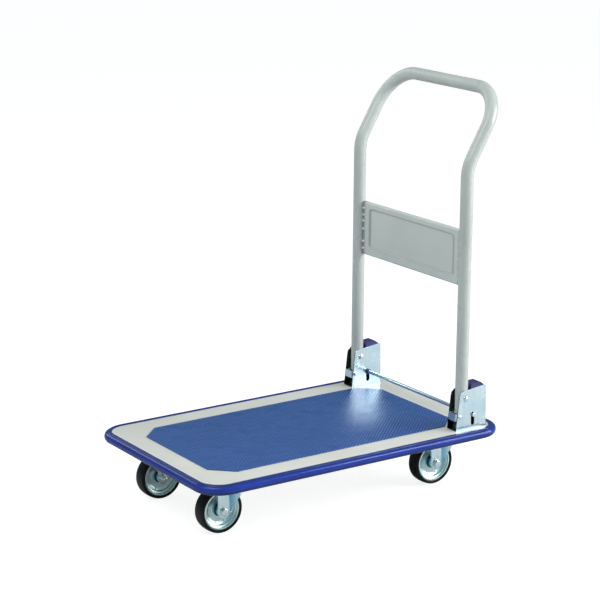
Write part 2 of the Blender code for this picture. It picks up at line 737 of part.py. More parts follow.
def make_kingpin(name, x, y):
    """Rivet that the fork turns on, flush with the top of the plate."""
    crown = CASTER_HEIGHT - CASTER_PLATE - RACE_GAP - FORK_SHEET
    r = KINGPIN / 2
    head = r + 4 * MM
    profile = [
        (0, -4 * MM), (head - 2 * MM, -4 * MM), (head, -2.4 * MM), (head, -CLEAR), (r, -CLEAR),
        (r, CASTER_HEIGHT - crown), (0, CASTER_HEIGHT - crown),
    ]
    return turned(name, profile, "Z", (x + TRAIL, y, crown), ZINC, 20)


def make_race(name, x, y):
    """Ball ring between plate and crown, drawn as one ring in place of its balls."""
    middle = CASTER_HEIGHT - CASTER_PLATE - RACE_GAP / 2
    r = RACE_GAP / 2 - 2 * CLEAR
    angles = [2 * math.pi * k / 6 for k in range(6)]
    profile = [(RACE_RADIUS + r * math.cos(a), r * math.sin(a)) for a in angles]
    return turned(name, profile, "Z", (x + TRAIL, y, middle), SPRING_STEEL, 20)


def make_rim(name, x, y):
    """Pressed disc wheel: hub, dished web and rim band."""
    bore = AXLE / 2 + SLEEVE_WALL + 2 * CLEAR
    band = WHEEL_R - TYRE_DEPTH - CLEAR
    half = [
        (bore, HUB_HALF), (bore + 4.4 * MM, HUB_HALF), (bore + 6 * MM, HUB_HALF * 0.7), (band * 0.5, 7 * MM),
        (band * 0.74, 7 * MM), (band * 0.88, 11 * MM), (band * 0.94, RIM_HALF), (band, RIM_HALF),
    ]
    profile = [(r, -t) for r, t in half] + half[::-1]
    return turned(name, profile, "Y", (x, y, WHEEL_R), ZINC, 24, -math.pi / 2, (x, y, WHEEL_R))


def make_tyre(name, x, y):
    """Solid rubber tyre with rounded shoulders."""
    seat = WHEEL_R - TYRE_DEPTH
    w = TYRE_WIDTH / 2
    half = [
        (seat, RIM_HALF), (seat + 1.4 * MM, w), (WHEEL_R - 3.2 * MM, w - 1.4 * MM),
        (WHEEL_R - 0.9 * MM, w - 5.2 * MM), (WHEEL_R, w - 10 * MM),
    ]
    profile = [(r, -t) for r, t in half] + half[::-1]
    return turned(name, profile, "Y", (x, y, WHEEL_R), TYRE_RUBBER, 30, -math.pi / 2, (x, y, WHEEL_R))


def make_axle(prefix, x, y, out):
    """Axle bolt with its head outboard, its nut inboard and the sleeve that the hub turns on."""
    r = AXLE / 2
    grip = FORK_HALF + CLEAR
    tip = grip + 9 * MM
    centre = (x, y, WHEEL_R)
    profile = [(0, tip * -out), (r - 0.8 * MM, tip * -out), (r, (tip - 0.8 * MM) * -out), (r, grip * out),
               (AXLE_HEAD / 2, grip * out), (AXLE_HEAD / 2, (grip + AXLE_HEAD_HEIGHT - 1 * MM) * out),
               (AXLE_HEAD / 2 - 1 * MM, (grip + AXLE_HEAD_HEIGHT) * out), (0, (grip + AXLE_HEAD_HEIGHT) * out)]
    turned(prefix + "_axle_bolt", profile, "Y", centre, ZINC, 18)
    nut = [(r + CLEAR, grip), (AXLE_HEAD / 2, grip), (AXLE_HEAD / 2, grip + 6.5 * MM), (r + CLEAR, grip + 6.5 * MM)]
    turned(prefix + "_axle_nut", [(a, b * -out) for a, b in nut], "Y", centre, ZINC, 18)
    reach = FORK_INSIDE / 2 - CLEAR
    sleeve = [(r + CLEAR, -reach), (r + SLEEVE_WALL, -reach), (r + SLEEVE_WALL, reach), (r + CLEAR, reach)]
    turned(prefix + "_axle_sleeve", sleeve, "Y", centre, ZINC, 18)


def make_caster(prefix, along, out, swivels):
    x = DECK_X + along
    y = out * AXLE_Y
    make_fork(prefix + "_fork", x, y, swivels)
    if swivels:
        make_plate(prefix + "_top_plate", x, y)
        make_kingpin(prefix + "_kingpin", x, y)
        make_race(prefix + "_ball_ring", x, y)
    make_axle(prefix, x, y, out)
    make_rim(prefix + "_rim", x, y)
    make_tyre(prefix + "_tyre", x, y)


def main():
    clear_scene()
    make_pan()
    make_bumper()
    make_mat()
    make_rail("front_rail", FRONT_AXLE_ALONG + (FORK_REACH - FORK_END) / 2)
    make_rail("rear_rail", REAR_AXLE_ALONG + TRAIL)
    make_handle_tube()
    make_handle_panel()
    for word, side in (("right", -1), ("left", 1)):
        make_plug(word + "_post_plug", side)
        make_bracket(word + "_bracket", side)
        for end, x in zip(("front", "rear"), bolt_places()):
            make_bracket_bolt(word + "_bracket_bolt_" + end, x, side)
        make_strap(word + "_strap", side)
        make_pin(word + "_pivot_rivet", PIVOT_PIN, 6.2 * MM, POST_X, side, PIVOT_Z)
        make_pin(word + "_stop_rivet", STOP_PIN, 5.6 * MM, DECK_X + STOP_ALONG, side, DECK_TOP + STOP_RISE)
        make_pad(word + "_stop_pad", side)
        make_spring(word + "_lock_spring", side)
        make_caster(word + "_front", FRONT_AXLE_ALONG, side, False)
        make_caster(word + "_rear", REAR_AXLE_ALONG, side, True)
    make_rod()


main()
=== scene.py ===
import math

import bmesh
import bpy
import numpy as np
from mathutils import Matrix, Vector


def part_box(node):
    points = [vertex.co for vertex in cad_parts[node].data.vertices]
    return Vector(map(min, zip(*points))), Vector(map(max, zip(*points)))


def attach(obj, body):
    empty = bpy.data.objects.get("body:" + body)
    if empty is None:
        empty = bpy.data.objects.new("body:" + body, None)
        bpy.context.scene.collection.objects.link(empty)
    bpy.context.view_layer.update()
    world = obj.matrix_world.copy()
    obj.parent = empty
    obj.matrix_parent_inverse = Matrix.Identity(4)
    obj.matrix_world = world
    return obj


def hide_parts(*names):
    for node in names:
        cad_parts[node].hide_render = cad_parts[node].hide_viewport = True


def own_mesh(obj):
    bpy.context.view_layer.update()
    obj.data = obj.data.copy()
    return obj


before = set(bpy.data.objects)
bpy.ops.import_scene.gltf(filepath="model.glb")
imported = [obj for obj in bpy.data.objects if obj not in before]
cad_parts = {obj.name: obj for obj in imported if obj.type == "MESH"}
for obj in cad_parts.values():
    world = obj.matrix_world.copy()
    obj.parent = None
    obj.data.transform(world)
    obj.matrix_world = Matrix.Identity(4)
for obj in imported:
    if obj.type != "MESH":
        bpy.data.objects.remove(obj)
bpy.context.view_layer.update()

MM = 0.001


# ---- Camera ----------------------------------------------------------------------------------------------
# It stands off the front right corner of the deck, a little above handle height, and looks at the middle of
# the cart through a long lens.

LOOK_AT = Vector((-0.0111, 0, 0.4178))
STAND_OFF = 4.4138
CAMERA_YAW, CAMERA_PITCH, CAMERA_ROLL = map(math.radians, (-32.9, 14.6, -0.4))
LENS_MM = 126.06
SENSOR_MM = 36

back = Vector((
    math.sin(CAMERA_YAW) * math.cos(CAMERA_PITCH),
    -math.cos(CAMERA_YAW) * math.cos(CAMERA_PITCH),
    math.sin(CAMERA_PITCH),
))
level_right = (-back).cross(Vector((0, 0, 1))).normalized()
level_up = level_right.cross(-back)
right = level_right * math.cos(CAMERA_ROLL) + level_up * math.sin(CAMERA_ROLL)
up = level_up * math.cos(CAMERA_ROLL) - level_right * math.sin(CAMERA_ROLL)
lens = bpy.data.cameras.new("camera")
lens.lens = LENS_MM
lens.sensor_width = SENSOR_MM
camera = bpy.data.objects.new("camera", lens)
facing = Matrix((right, up, back)).transposed().to_4x4()
camera.matrix_world = Matrix.Translation(LOOK_AT + back * STAND_OFF) @ facing
bpy.context.scene.collection.objects.link(camera)
bpy.context.scene.camera = camera


# ---- Studio ----------------------------------------------------------------------------------------------
# A white floor that runs out of sight, a dim tent that is brightest overhead, and four soft boxes: one above,
# a large one to the right of the camera, one behind, and a small one for the bumper's highlight. The white
# floor is only seen; what it throws back on the cart comes from a duller one just under it.

FLOOR_REACH = 30.0
FLOOR_WHITE, FLOOR_GLOW = 0.35, 0.85
CARPET_GREY, CARPET_DROP = 0.60, 0.5 * MM
TENT_LEVELS = (
    (0.00, (0.05, 0.11, 0.15)),
    (0.12, (0.09, 0.16, 0.20)),
    (0.45, (0.23, 0.30, 0.34)),
    (1.00, (0.52, 0.54, 0.55)),
)
BACKDROP = 1.02
SOFT_BOXES = (
    ("box_above", (-1.4, -0.3, 2.5), (0, 0, 0.3), 1.7, 35),
    ("box_right", (3.0, -2.1, 1.35), (0.1, 0, 0.4), 2.3, 116),
    ("box_behind", (-0.6, 3.6, 2.0), (0, 0, 0.3), 1.6, 19),
    ("box_edge", (1.7, -2.25, 1.75), (0, 0, 0.15), 0.6, 14),
)


def node(tree, kind, sockets=None, **settings):
    """A shader node. A socket given another node's output is linked to it; any other value is set on it."""
    made = tree.nodes.new(kind)
    for key, value in settings.items():
        setattr(made, key, value)
    for key, value in (sockets or {}).items():
        if isinstance(value, bpy.types.NodeSocket):
            tree.links.new(value, made.inputs[key])
        else:
            made.inputs[key].default_value = value
    return made


def grid_faces(rows, columns, wrap_rows=False, wrap_columns=False):
    """Quads between neighbouring rows and columns of a grid of points. A wrapped direction joins its last to
    its first."""
    i = np.arange(rows if wrap_rows else rows - 1)[:, None]
    j = np.arange(columns if wrap_columns else columns - 1)[None, :]
    down, across = (i + 1) % rows, (j + 1) % columns
    corners = (i * columns + j, i * columns + across, down * columns + across, down * columns + j)
    return np.stack(np.broadcast_arrays(*corners), axis=-1).reshape(-1, 4).tolist()


def mesh_object(name, points, faces):
    mesh = bpy.data.meshes.new(name)
    mesh.from_pydata(np.asarray(points, float).reshape(-1, 3).tolist(), [], faces)
    made = bpy.data.objects.new(name, mesh)
    bpy.context.scene.collection.objects.link(made)
    return made


def make_floor(name, height, white, glow):
    """A level grid: x and y each run evenly from minus the reach to plus it."""
    run = np.linspace(-FLOOR_REACH, FLOOR_REACH, 9)
    x, y = np.meshgrid(run, run)
    floor = mesh_object(name, np.stack([x, y, np.full_like(x, height)], axis=-1), grid_faces(9, 9))
    look = bpy.data.materials.new(name)
    look.use_nodes = True
    shader = look.node_tree.nodes["Principled BSDF"]
    shader.inputs["Base Color"].default_value = (white, white, white, 1)
    shader.inputs["Roughness"].default_value = 0.9
    shader.inputs["Specular IOR Level"].default_value = 0.1
    shader.inputs["Emission Color"].default_value = (1, 1, 1, 1)
    shader.inputs["Emission Strength"].default_value = glow
    floor.data.materials.append(look)
    return floor


def hang_tent():
    """World light by height above the horizon; what the camera sees of it directly is plain white."""
    tent = bpy.data.worlds.new("tent")
    tent.use_nodes = True
    tree = tent.node_tree
    plain = tree.nodes["Background"]
    plain.inputs["Color"].default_value = (1, 1, 1, 1)
    plain.inputs["Strength"].default_value = BACKDROP
    toward = node(tree, "ShaderNodeTexCoord").outputs["Generated"]
    height = node(tree, "ShaderNodeSeparateXYZ", {0: toward}).outputs["Z"]
    ramp = node(tree, "ShaderNodeValToRGB", {0: height})
    stops = ramp.color_ramp.elements
    for spare, (place, colour) in zip((stops[0], stops[1]), (TENT_LEVELS[0], TENT_LEVELS[-1])):
        spare.position, spare.color = place, (*colour, 1)
    for place, colour in TENT_LEVELS[1:-1]:
        stops.new(place).color = (*colour, 1)
    cloth = node(tree, "ShaderNodeBackground", {"Color": ramp.outputs["Color"], "Strength": 1.0})
    sight = node(tree, "ShaderNodeLightPath").outputs["Is Camera Ray"]
    mixed = node(tree, "ShaderNodeMixShader", {0: sight, 1: cloth.outputs[0], 2: plain.outputs[0]})
    tree.links.new(mixed.outputs[0], tree.nodes["World Output"].inputs["Surface"])
    bpy.context.scene.world = tent


def hang_soft_box(name, place, aim, side, power):
    lamp = bpy.data.lights.new(name, "AREA")
    lamp.shape = "SQUARE"
    lamp.size = side
    lamp.energy = power
    box = bpy.data.objects.new(name, lamp)
    facing = (Vector(aim) - Vector(place)).to_track_quat("-Z", "Y")
    box.matrix_world = Matrix.Translation(place) @ facing.to_matrix().to_4x4()
    bpy.context.scene.collection.objects.link(box)


floor = make_floor("floor", 0, FLOOR_WHITE, FLOOR_GLOW)
floor.visible_diffuse = floor.visible_glossy = floor.visible_shadow = False
carpet = make_floor("bounce_floor", -CARPET_DROP, CARPET_GREY, 0)
carpet.visible_camera = False
hang_tent()
for soft_box in SOFT_BOXES:
    hang_soft_box(*soft_box)
bpy.context.scene.view_settings.view_transform = "Standard"


# ---- Deck tray -------------------------------------------------------------------------------------------
# The tray is one sheet of steel, pressed with a rounded edge and a short turned-down flange, then powder
# coated in a warm white. It carries everything else.

TRAY_LOW, TRAY_HIGH = np.array(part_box("deck_pan"))
DECK_LOW, DECK_HIGH = np.array(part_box("edge_bumper"))
DECK_TOP = TRAY_HIGH[2]
DECK_MIDDLE = (DECK_LOW + DECK_HIGH)[:2] / 2
DECK_HALF = (DECK_HIGH - DECK_LOW)[:2] / 2
DECK_CORNER = 60 * MM
TRAY_SHEET = 1.6 * MM
TRAY_EDGE = 3 * MM
TRAY_FLANGE = DECK_TOP - TRAY_LOW[2]
TRAY_INSET = TRAY_LOW[0] - DECK_LOW[0]
MERGE_WITHIN, SLIVER = 1e-6, 1e-7
IVORY = (0.680, 0.672, 0.612)


def build(name, points, faces, sharp=35):
    """A mesh object from points and faces: repeated points merged, faces turned outwards, and shaded smooth
    but for edges that turn by more than the angle in degrees."""
    made = mesh_object(name, points, faces)
    shell = bmesh.new()
    shell.from_mesh(made.data)
    bmesh.ops.remove_doubles(shell, verts=shell.verts, dist=MERGE_WITHIN)
    bmesh.ops.dissolve_degenerate(shell, edges=shell.edges, dist=SLIVER)
    bmesh.ops.recalc_face_normals(shell, faces=shell.faces)
    if shell.calc_volume(signed=True) < 0:
        bmesh.ops.reverse_faces(shell, faces=shell.faces)
    shell.to_mesh(made.data)
    shell.free()
    made.data.shade_smooth()
    made.data.set_sharp_from_angle(angle=math.radians(sharp))
    return made


def tube_faces(rows, columns):
    """A grid's quads wrapped round its columns, with its first and last rows closed by flat faces."""
    ends = [list(range(columns)), list(range(rows * columns - 1, (rows - 1) * columns - 1, -1))]
    return grid_faces(rows, columns, wrap_columns=True) + ends


def new_look(name):
    """A material, its tree, and a noise maker that reads the piece's own coordinates."""
    look = bpy.data.materials.new(name)
    look.use_nodes = True
    tree = look.node_tree
    place = node(tree, "ShaderNodeTexCoord").outputs["Object"]

    def noise(scale, detail, stretch=(1, 1, 1), roughness=0.5):
        vector = node(tree, "ShaderNodeMapping", {"Vector": place, "Scale": stretch}).outputs[0]
        sockets = {"Vector": vector, "Scale": scale, "Detail": detail, "Roughness": roughness}
        return node(tree, "ShaderNodeTexNoise", sockets).outputs["Fac"]

    return look, tree, noise


def toned(colour, factors, lift=0.0):
    """A colour whose channels are multiplied, by one factor or by one each, and lifted, to 1 at most."""
    return tuple(np.minimum(np.array(colour) * factors + lift, 1).tolist())


def spread(tree, value, low, high, start=0.3, end=0.7):
    """A value from start to end mapped to low to high, and held there outside them."""
    sockets = {"Value": value, "From Min": start, "From Max": end, "To Min": low, "To Max": high}
    return node(tree, "ShaderNodeMapRange", sockets).outputs["Result"]


def blended(tree, share, first, second):
    """A colour between two, each a plain colour or a node's output."""
    made = node(tree, "ShaderNodeMix", data_type="RGBA")
    for socket, value in ((made.inputs[0], share), (made.inputs[6], first), (made.inputs[7], second)):
        if isinstance(value, bpy.types.NodeSocket):
            tree.links.new(value, socket)
        elif isinstance(value, tuple):
            socket.default_value = (*value, 1)
        else:
            socket.default_value = value
    return made.outputs[2]


def finished(tree, colour, roughness, height, strength, distance):
    """Links colour, roughness and a height's bump to the tree's shader, and returns the shader."""
    shader = tree.nodes["Principled BSDF"]
    tree.links.new(colour, shader.inputs["Base Color"])
    tree.links.new(roughness, shader.inputs["Roughness"])
    bump = node(tree, "ShaderNodeBump", {"Height": height, "Strength": strength, "Distance": distance})
    tree.links.new(bump.outputs["Normal"], shader.inputs["Normal"])
    return shader


def painted_shade_share(tree):
    """How much painted shade the piece holds at each place: 0 on a piece that has none."""
    return node(tree, "ShaderNodeAttribute", attribute_name="painted_shade").outputs["Fac"]


def powder_coat(name, colour, roughness):
    """Sprayed and baked enamel: faint clouding, a fine orange peel, a dusting of grime specks, and painted
    shade, a darker coat, where a piece keeps it in pressed creases and seams."""
    look, tree, noise = new_look(name)
    clouds = blended(tree, spread(tree, noise(7, 4), 0.0, 1.0), toned(colour, 0.93), toned(colour, 1.05))
    specks = spread(tree, noise(360, 2), 0.0, 0.14, 0.70, 0.84)
    tint = blended(tree, specks, clouds, toned(colour, (0.70, 0.68, 0.62)))
    tint = blended(tree, painted_shade_share(tree), tint, toned(colour, 0.28))
    gloss = spread(tree, noise(38, 4), roughness - 0.05, roughness + 0.09)
    shader = finished(tree, tint, gloss, noise(520, 2), 0.05, 0.3 * MM)
    shader.inputs["Coat Weight"].default_value = 0.12
    shader.inputs["Coat Roughness"].default_value = 0.15
    return look


def coat_node(node_name, finish):
    """Gives a CAD node that stays in sight its material."""
    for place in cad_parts[node_name].material_slots:
        place.material = finish


def deck_loop(inset, rise, steps=18):
    """The deck's outline drawn in by an inset, level at a rise from its top face: four straight sides joined
    by quarter circles about the same four centres."""
    quarter = np.repeat(np.arange(4), steps + 1)
    angle = math.pi / 2 * (quarter + np.tile(np.linspace(0, 1, steps + 1), 4))
    toward = np.array([(1, 1), (-1, 1), (-1, -1), (1, -1)])[quarter]
    centre = DECK_MIDDLE + toward * (DECK_HALF - DECK_CORNER)
    arm = (DECK_CORNER - inset) * np.stack([np.cos(angle), np.sin(angle)], axis=-1)
    return np.column_stack([centre + arm, np.full(len(angle), DECK_TOP + rise)])


def make_tray():
    """A section of (inset, rise) points carried round the deck's outline. The section runs out over the top
    face, round a quarter circle, down the flange and back up inside it."""
    turn = np.linspace(0, math.pi / 2, 8)
    inner = TRAY_EDGE - TRAY_SHEET
    over = np.stack([TRAY_EDGE * (1 - np.sin(turn)), TRAY_EDGE * (np.cos(turn) - 1)], axis=-1)
    under = np.stack([TRAY_EDGE - inner * np.sin(turn), inner * np.cos(turn) - TRAY_EDGE], axis=-1)[::-1]
    hem = np.array([(0.2 * MM, -TRAY_FLANGE), (TRAY_SHEET - 0.2 * MM, -TRAY_FLANGE)])
    lips = np.array([(0, 0.2 * MM - TRAY_FLANGE)]), np.array([(TRAY_SHEET, 0.2 * MM - TRAY_FLANGE)])
    section = np.concatenate([over, lips[0], hem, lips[1], under])
    loops = np.stack([deck_loop(TRAY_INSET + inset, rise) for inset, rise in section])
    return build("tray", loops, tube_faces(*loops.shape[:2]), 40)


ivory_coat = powder_coat("powder_coat_ivory", IVORY, 0.40)
tray = make_tray()
tray.data.materials.append(ivory_coat)
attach(tray, "cart")
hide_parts("deck_pan")


# ---- Cross rails -----------------------------------------------------------------------------------------
# Two hat channels folded from sheet lie across under the tray, welded to it by their lips, and the casters
# bolt to them. They are coated with the tray.

for rail in ("front_rail", "rear_rail"):
    coat_node(rail, ivory_coat)


# ---- Edge bumper -----------------------------------------------------------------------------------------
# An extruded strip of glossy blue vinyl is stretched round the tray: a thin lip over its top, a shallow
# groove, a hollow round nose, and a hook that grips under the flange.

BUMPER_GAP = 0.3 * MM
NOSE = TRAY_INSET - BUMPER_GAP
LIP = 9.2 * MM
LIP_RISE = DECK_HIGH[2] - DECK_TOP
SKIRT = DECK_TOP - DECK_LOW[2]
HOOK = 5.7 * MM
VINYL_BLUE = (0.016, 0.042, 0.320)


def painted_shade(made, share):
    """Keeps painted shade, from 0 to 1, at each point of a mesh, found from its x, y and z, for materials to
    read.
    """
    points = np.empty(len(made.data.vertices) * 3)
    made.data.vertices.foreach_get("co", points)
    values = np.broadcast_to(share(*points.reshape(-1, 3).T), len(points) // 3)
    kept = made.data.attributes.new("painted_shade", "FLOAT", "POINT").data
    kept.foreach_set("value", np.ascontiguousarray(values, float))


def smooth_step(value, start, end):
    """0 up to the start and 1 from the end; between them 3 times the share's square less twice its cube."""
    share = np.clip((value - start) / (end - start), 0, 1)
    return share * share * (3 - 2 * share)


def bumper_section():
    """(inset, rise) points: the nose is half an ellipse, x by the cosine and height by the sine of one angle;
    the lip is a flat strip with eased edges, and the inside follows the tray a small gap away."""
    half = SKIRT / 2
    angle = np.radians(np.linspace(-84, 86, 26))
    nose = np.stack([NOSE * (1 - np.cos(angle)), half * (np.sin(angle) - 1)], axis=-1)
    lip = np.array([
        (NOSE + 0.1 * MM, 0.25 * MM), (NOSE + 0.35 * MM, 0.9 * MM), (NOSE + 0.8 * MM, 1.5 * MM),
        (NOSE + 1.6 * MM, LIP_RISE - 0.1 * MM), (NOSE + 2.6 * MM, LIP_RISE),
        (NOSE + 6.4 * MM, LIP_RISE - 0.1 * MM), (NOSE + LIP - 1.2 * MM, 1.55 * MM),
        (NOSE + LIP - 0.4 * MM, 1.1 * MM), (NOSE + LIP, BUMPER_GAP),
    ])
    seat = np.array([
        (NOSE + TRAY_EDGE * 0.9, BUMPER_GAP), (NOSE + TRAY_EDGE * 0.45, -TRAY_EDGE * 0.07),
        (NOSE + TRAY_EDGE * 0.2, -TRAY_EDGE * 0.3), (NOSE + TRAY_EDGE * 0.05, -TRAY_EDGE * 0.6),
        (NOSE, -TRAY_EDGE * 0.85), (NOSE, -TRAY_FLANGE - BUMPER_GAP),
        (NOSE + HOOK, -TRAY_FLANGE - BUMPER_GAP),
        (NOSE + HOOK, 0.4 * MM - SKIRT), (NOSE + HOOK - 0.5 * MM, -SKIRT), (NOSE + HOOK * 0.2, -SKIRT),
    ])
    return np.concatenate([nose, lip, seat])


def glossy_vinyl():
    """Extruded vinyl: slow clouding of the pigment, faint handling marks, a fine skin, and painted shade
    that darkens the lip and the top of the nose, and more strongly the underside of the nose."""
    look, tree, noise = new_look("vinyl_bumper")
    pale, deep = toned(VINYL_BLUE, 1.22, 0.006), toned(VINYL_BLUE, 0.84)
    tint = blended(tree, spread(tree, noise(11, 4), 0.0, 1.0), deep, pale)
    marks = spread(tree, noise(70, 6, (1, 1, 3), 0.7), 0.0, 0.35, 0.60, 0.74)
    tint = blended(tree, marks, tint, toned(VINYL_BLUE, 0.8, 0.03))
    tint = blended(tree, painted_shade_share(tree), tint, toned(VINYL_BLUE, (0.25, 0.45, 0.28)))
    shader = finished(tree, tint, spread(tree, noise(46, 5), 0.10, 0.20), noise(700, 3), 0.08, 0.4 * MM)
    shader.inputs["Specular IOR Level"].default_value = 0.28
    return look


def make_bumper():
    """The bumper's section carried round the deck's outline as one closed ring of rings."""
    loops = np.stack([deck_loop(inset, rise, 24) for inset, rise in bumper_section()])
    rows, columns = loops.shape[:2]
    return build("bumper", loops, grid_faces(rows, columns, True, True), 50)


bumper = make_bumper()
# Painted shade: the lip and the top of the nose are darkened, and the underside of the nose more so.
painted_shade(bumper, lambda x, y, z: np.maximum(
    smooth_step(z, DECK_TOP - 3.5 * MM, DECK_TOP - 0.5 * MM) * 0.55,
    smooth_step(-z, SKIRT * 0.46 - DECK_TOP, SKIRT * 0.86 - DECK_TOP) * 0.85,
))
bumper.data.materials.append(glossy_vinyl())
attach(bumper, "cart")
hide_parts("edge_bumper")


# ---- Deck mat --------------------------------------------------------------------------------------------
# A thin sheet of blue vinyl with cut corners, embossed all over with small slanting lozenges, is glued to the
# top of the tray.

MAT_LOW, MAT_HIGH = np.array(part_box("deck_mat"))
MAT_CHAMFER = 44 * MM
MAT_EASE = 0.5 * MM
RIDGE_PITCH, BREAK_PITCH = 6.1 * MM, 8.6 * MM
MAT_BLUE = (0.026, 0.066, 0.268)


def mat_loop(inset, height):
    """The mat's eight-sided outline drawn in by an inset, level at a height. A cut corner moves in by the
    same amount as the sides, so its ends move by the inset times the tangent of an eighth of a turn."""
    x0, y0 = MAT_LOW[:2] + inset
    x1, y1 = MAT_HIGH[:2] - inset
    cut = MAT_CHAMFER - inset * (2 - math.sqrt(2))
    corners = np.array([
        (x0 + cut, y0), (x1 - cut, y0), (x1, y0 + cut), (x1, y1 - cut),
        (x1 - cut, y1), (x0 + cut, y1), (x0, y1 - cut), (x0, y0 + cut),
    ])
    share = np.linspace(0, 1, 12, endpoint=False)[None, :, None]
    sides = corners[:, None] * (1 - share) + np.roll(corners, -1, axis=0)[:, None] * share
    return np.column_stack([sides.reshape(-1, 2), np.full(sides.size // 2, height)])


def make_mat():
    """Rows from the underside's edge, up the cut side and over a quarter circle to the top face."""
    turn = np.linspace(0, math.pi / 2, 5)
    low, high = MAT_LOW[2], MAT_HIGH[2]
    rows = [(0, low)] + list(zip(MAT_EASE * (1 - np.cos(turn)), high - MAT_EASE * (1 - np.sin(turn))))
    loops = np.stack([mat_loop(inset, height) for inset, height in rows])
    return build("mat", loops, tube_faces(*loops.shape[:2]), 40)


def combined(tree, operation, first, second):
    """The sum, difference, product or, of the first alone, sine of two values or outputs."""
    return node(tree, "ShaderNodeMath", {0: first, 1: second}, operation=operation).outputs[0]


def embossed_vinyl():
    """Ridges run slantwise at an even pitch, the sine of the distance across them, and a second sine along
    them breaks each into lozenges. They are painted paler than the ground between them, a painted highlight
    on their raised tops, and are smoother, and feet and loads have dulled the sheet in patches."""
    look, tree, noise = new_look("vinyl_mat")
    axes = node(tree, "ShaderNodeSeparateXYZ", {0: node(tree, "ShaderNodeTexCoord").outputs["Object"]})

    def wave(operation, pitch):
        slant = combined(tree, operation, axes.outputs["X"], axes.outputs["Y"])
        turns = combined(tree, "MULTIPLY", slant, math.tau / (pitch * math.sqrt(2)))
        return combined(tree, "SINE", turns, 0.0)

    broken = combined(tree, "MULTIPLY", wave("ADD", BREAK_PITCH), 0.5)
    ridged = combined(tree, "ADD", wave("SUBTRACT", RIDGE_PITCH), broken)
    lozenge = spread(tree, ridged, 0.0, 1.0, -0.2, 1.0)
    worn = spread(tree, noise(6, 5, roughness=0.6), 0.0, 1.0, 0.40, 0.66)
    ground = blended(tree, worn, toned(MAT_BLUE, 0.52), toned(MAT_BLUE, 0.70))
    # The lozenges are painted paler: a painted highlight on the raised tops.
    tint = blended(tree, lozenge, ground, toned(MAT_BLUE, (2.1, 2.7, 2.05)))
    polish = combined(tree, "MULTIPLY", lozenge, 0.06)
    gloss = combined(tree, "SUBTRACT", spread(tree, noise(19, 5), 0.28, 0.40), polish)
    skin = combined(tree, "ADD", lozenge, combined(tree, "MULTIPLY", noise(900, 2), 0.2))
    finished(tree, tint, gloss, skin, 0.55, 0.5 * MM)
    return look


mat = make_mat()
mat.data.materials.append(embossed_vinyl())
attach(mat, "cart")
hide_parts("deck_mat")


# ---- Handle tube -----------------------------------------------------------------------------------------
# One length of round steel tube is bent into two posts, a backward slope and a cross bar, drilled near its
# feet for the pivot rivets, and coated light grey. A plastic plug closes each foot.

TUBE_RADIUS = 13.6 * MM
TUBE_WALL = 1.6 * MM
FOOT_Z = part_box("handle_tube")[0][2]
BAR_X, POST_Y, BAR_Z = np.array(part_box("handle_tube")[1]) - TUBE_RADIUS
PIVOT = np.array(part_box("right_pivot_rivet")).mean(axis=0)
PIVOT_HOLE = 4.3 * MM
POST_LEAN = math.radians(1.0)
BEND_Z = DECK_TOP + 562.5 * MM
BEND_RADIUS = 86 * MM
CORNER_RADIUS = 84.5 * MM
TUBE_SIDES = 48
GREY = (0.555, 0.590, 0.550)


def eased(before, corner, after, radius, steps):
    """Points of the arc of a radius that rounds a corner: unit arms u and w from the corner give its centre
    on their bisector, and the points run round it by spherical interpolation between the two touching
    points."""
    u, w = (np.asarray(p, float) - corner for p in (before, after))
    u /= np.linalg.norm(u)
    w /= np.linalg.norm(w)
    half = math.acos(np.clip(u @ w, -1, 1)) / 2
    centre = corner + (u + w) / np.linalg.norm(u + w) * radius / math.sin(half)
    first = corner + u * radius / math.tan(half) - centre
    last = corner + w * radius / math.tan(half) - centre
    turn = math.pi - 2 * half
    share = np.linspace(0, 1, steps + 1)[:, None]
    return centre + (np.sin((1 - share) * turn) * first + np.sin(share * turn) * last) / math.sin(turn)


def rounded(corners, radii, steps=8, closed=True):
    """A path through corners, each rounded by its own radius; a radius of 0 leaves a corner sharp."""
    corners = np.asarray(corners, float)
    pieces = []
    for i, radius in enumerate(radii):
        if radius and (closed or 0 < i < len(radii) - 1):
            pieces.append(eased(corners[i - 1], corners[i], corners[(i + 1) % len(corners)], radius, steps))
        else:
            pieces.append(corners[i:i + 1])
    return np.concatenate(pieces)


def rings(path, radius, sides, reference):
    """Circles square to a path. Each starts from the reference direction less its share along the path, so
    that no circle is twisted against the next."""
    legs = np.diff(path, axis=0)
    legs /= np.linalg.norm(legs, axis=1)[:, None]
    along = np.concatenate([legs[:1], legs[:-1] + legs[1:], legs[-1:]])
    along /= np.linalg.norm(along, axis=1)[:, None]
    side = reference - along * (along @ reference)[:, None]
    side /= np.linalg.norm(side, axis=1)[:, None]
    other = np.cross(along, side)
    angle = np.arange(sides) * math.tau / sides
    arms = np.cos(angle)[None, :, None] * side[:, None] + np.sin(angle)[None, :, None] * other[:, None]
    return path[:, None] + radius * arms


def turned(name, profile, axis, centre, steps=48, sharp=30):
    """A closed (radius, along) profile carried round an axis through a centre."""
    profile = np.asarray(profile, float)
    angle = np.arange(steps) * math.tau / steps
    a, b = profile[:, :1] * np.cos(angle), profile[:, :1] * np.sin(angle)
    t = np.broadcast_to(profile[:, 1:], a.shape)
    points = np.stack({"Y": (a, t, b), "Z": (a, b, t)}[axis], axis=-1) + np.asarray(centre)
    return build(name, points, grid_faces(len(profile), steps, True, True), sharp)


def carve(made, *jobs):
    """Cuts, trims or joins a piece with other solids in turn, and leaves one plain mesh, the others gone."""
    for operation, other in jobs:
        modifier = made.modifiers.new(operation.lower(), "BOOLEAN")
        modifier.operation = operation
        modifier.solver = "EXACT"
        modifier.object = other
    graph = bpy.context.evaluated_depsgraph_get()
    carved = bpy.data.meshes.new_from_object(made.evaluated_get(graph))
    made.modifiers.clear()
    made.data = carved
    for _, other in jobs:
        bpy.data.objects.remove(other, do_unlink=True)
    carved.shade_smooth()
    carved.set_sharp_from_angle(angle=math.radians(30))
    return made


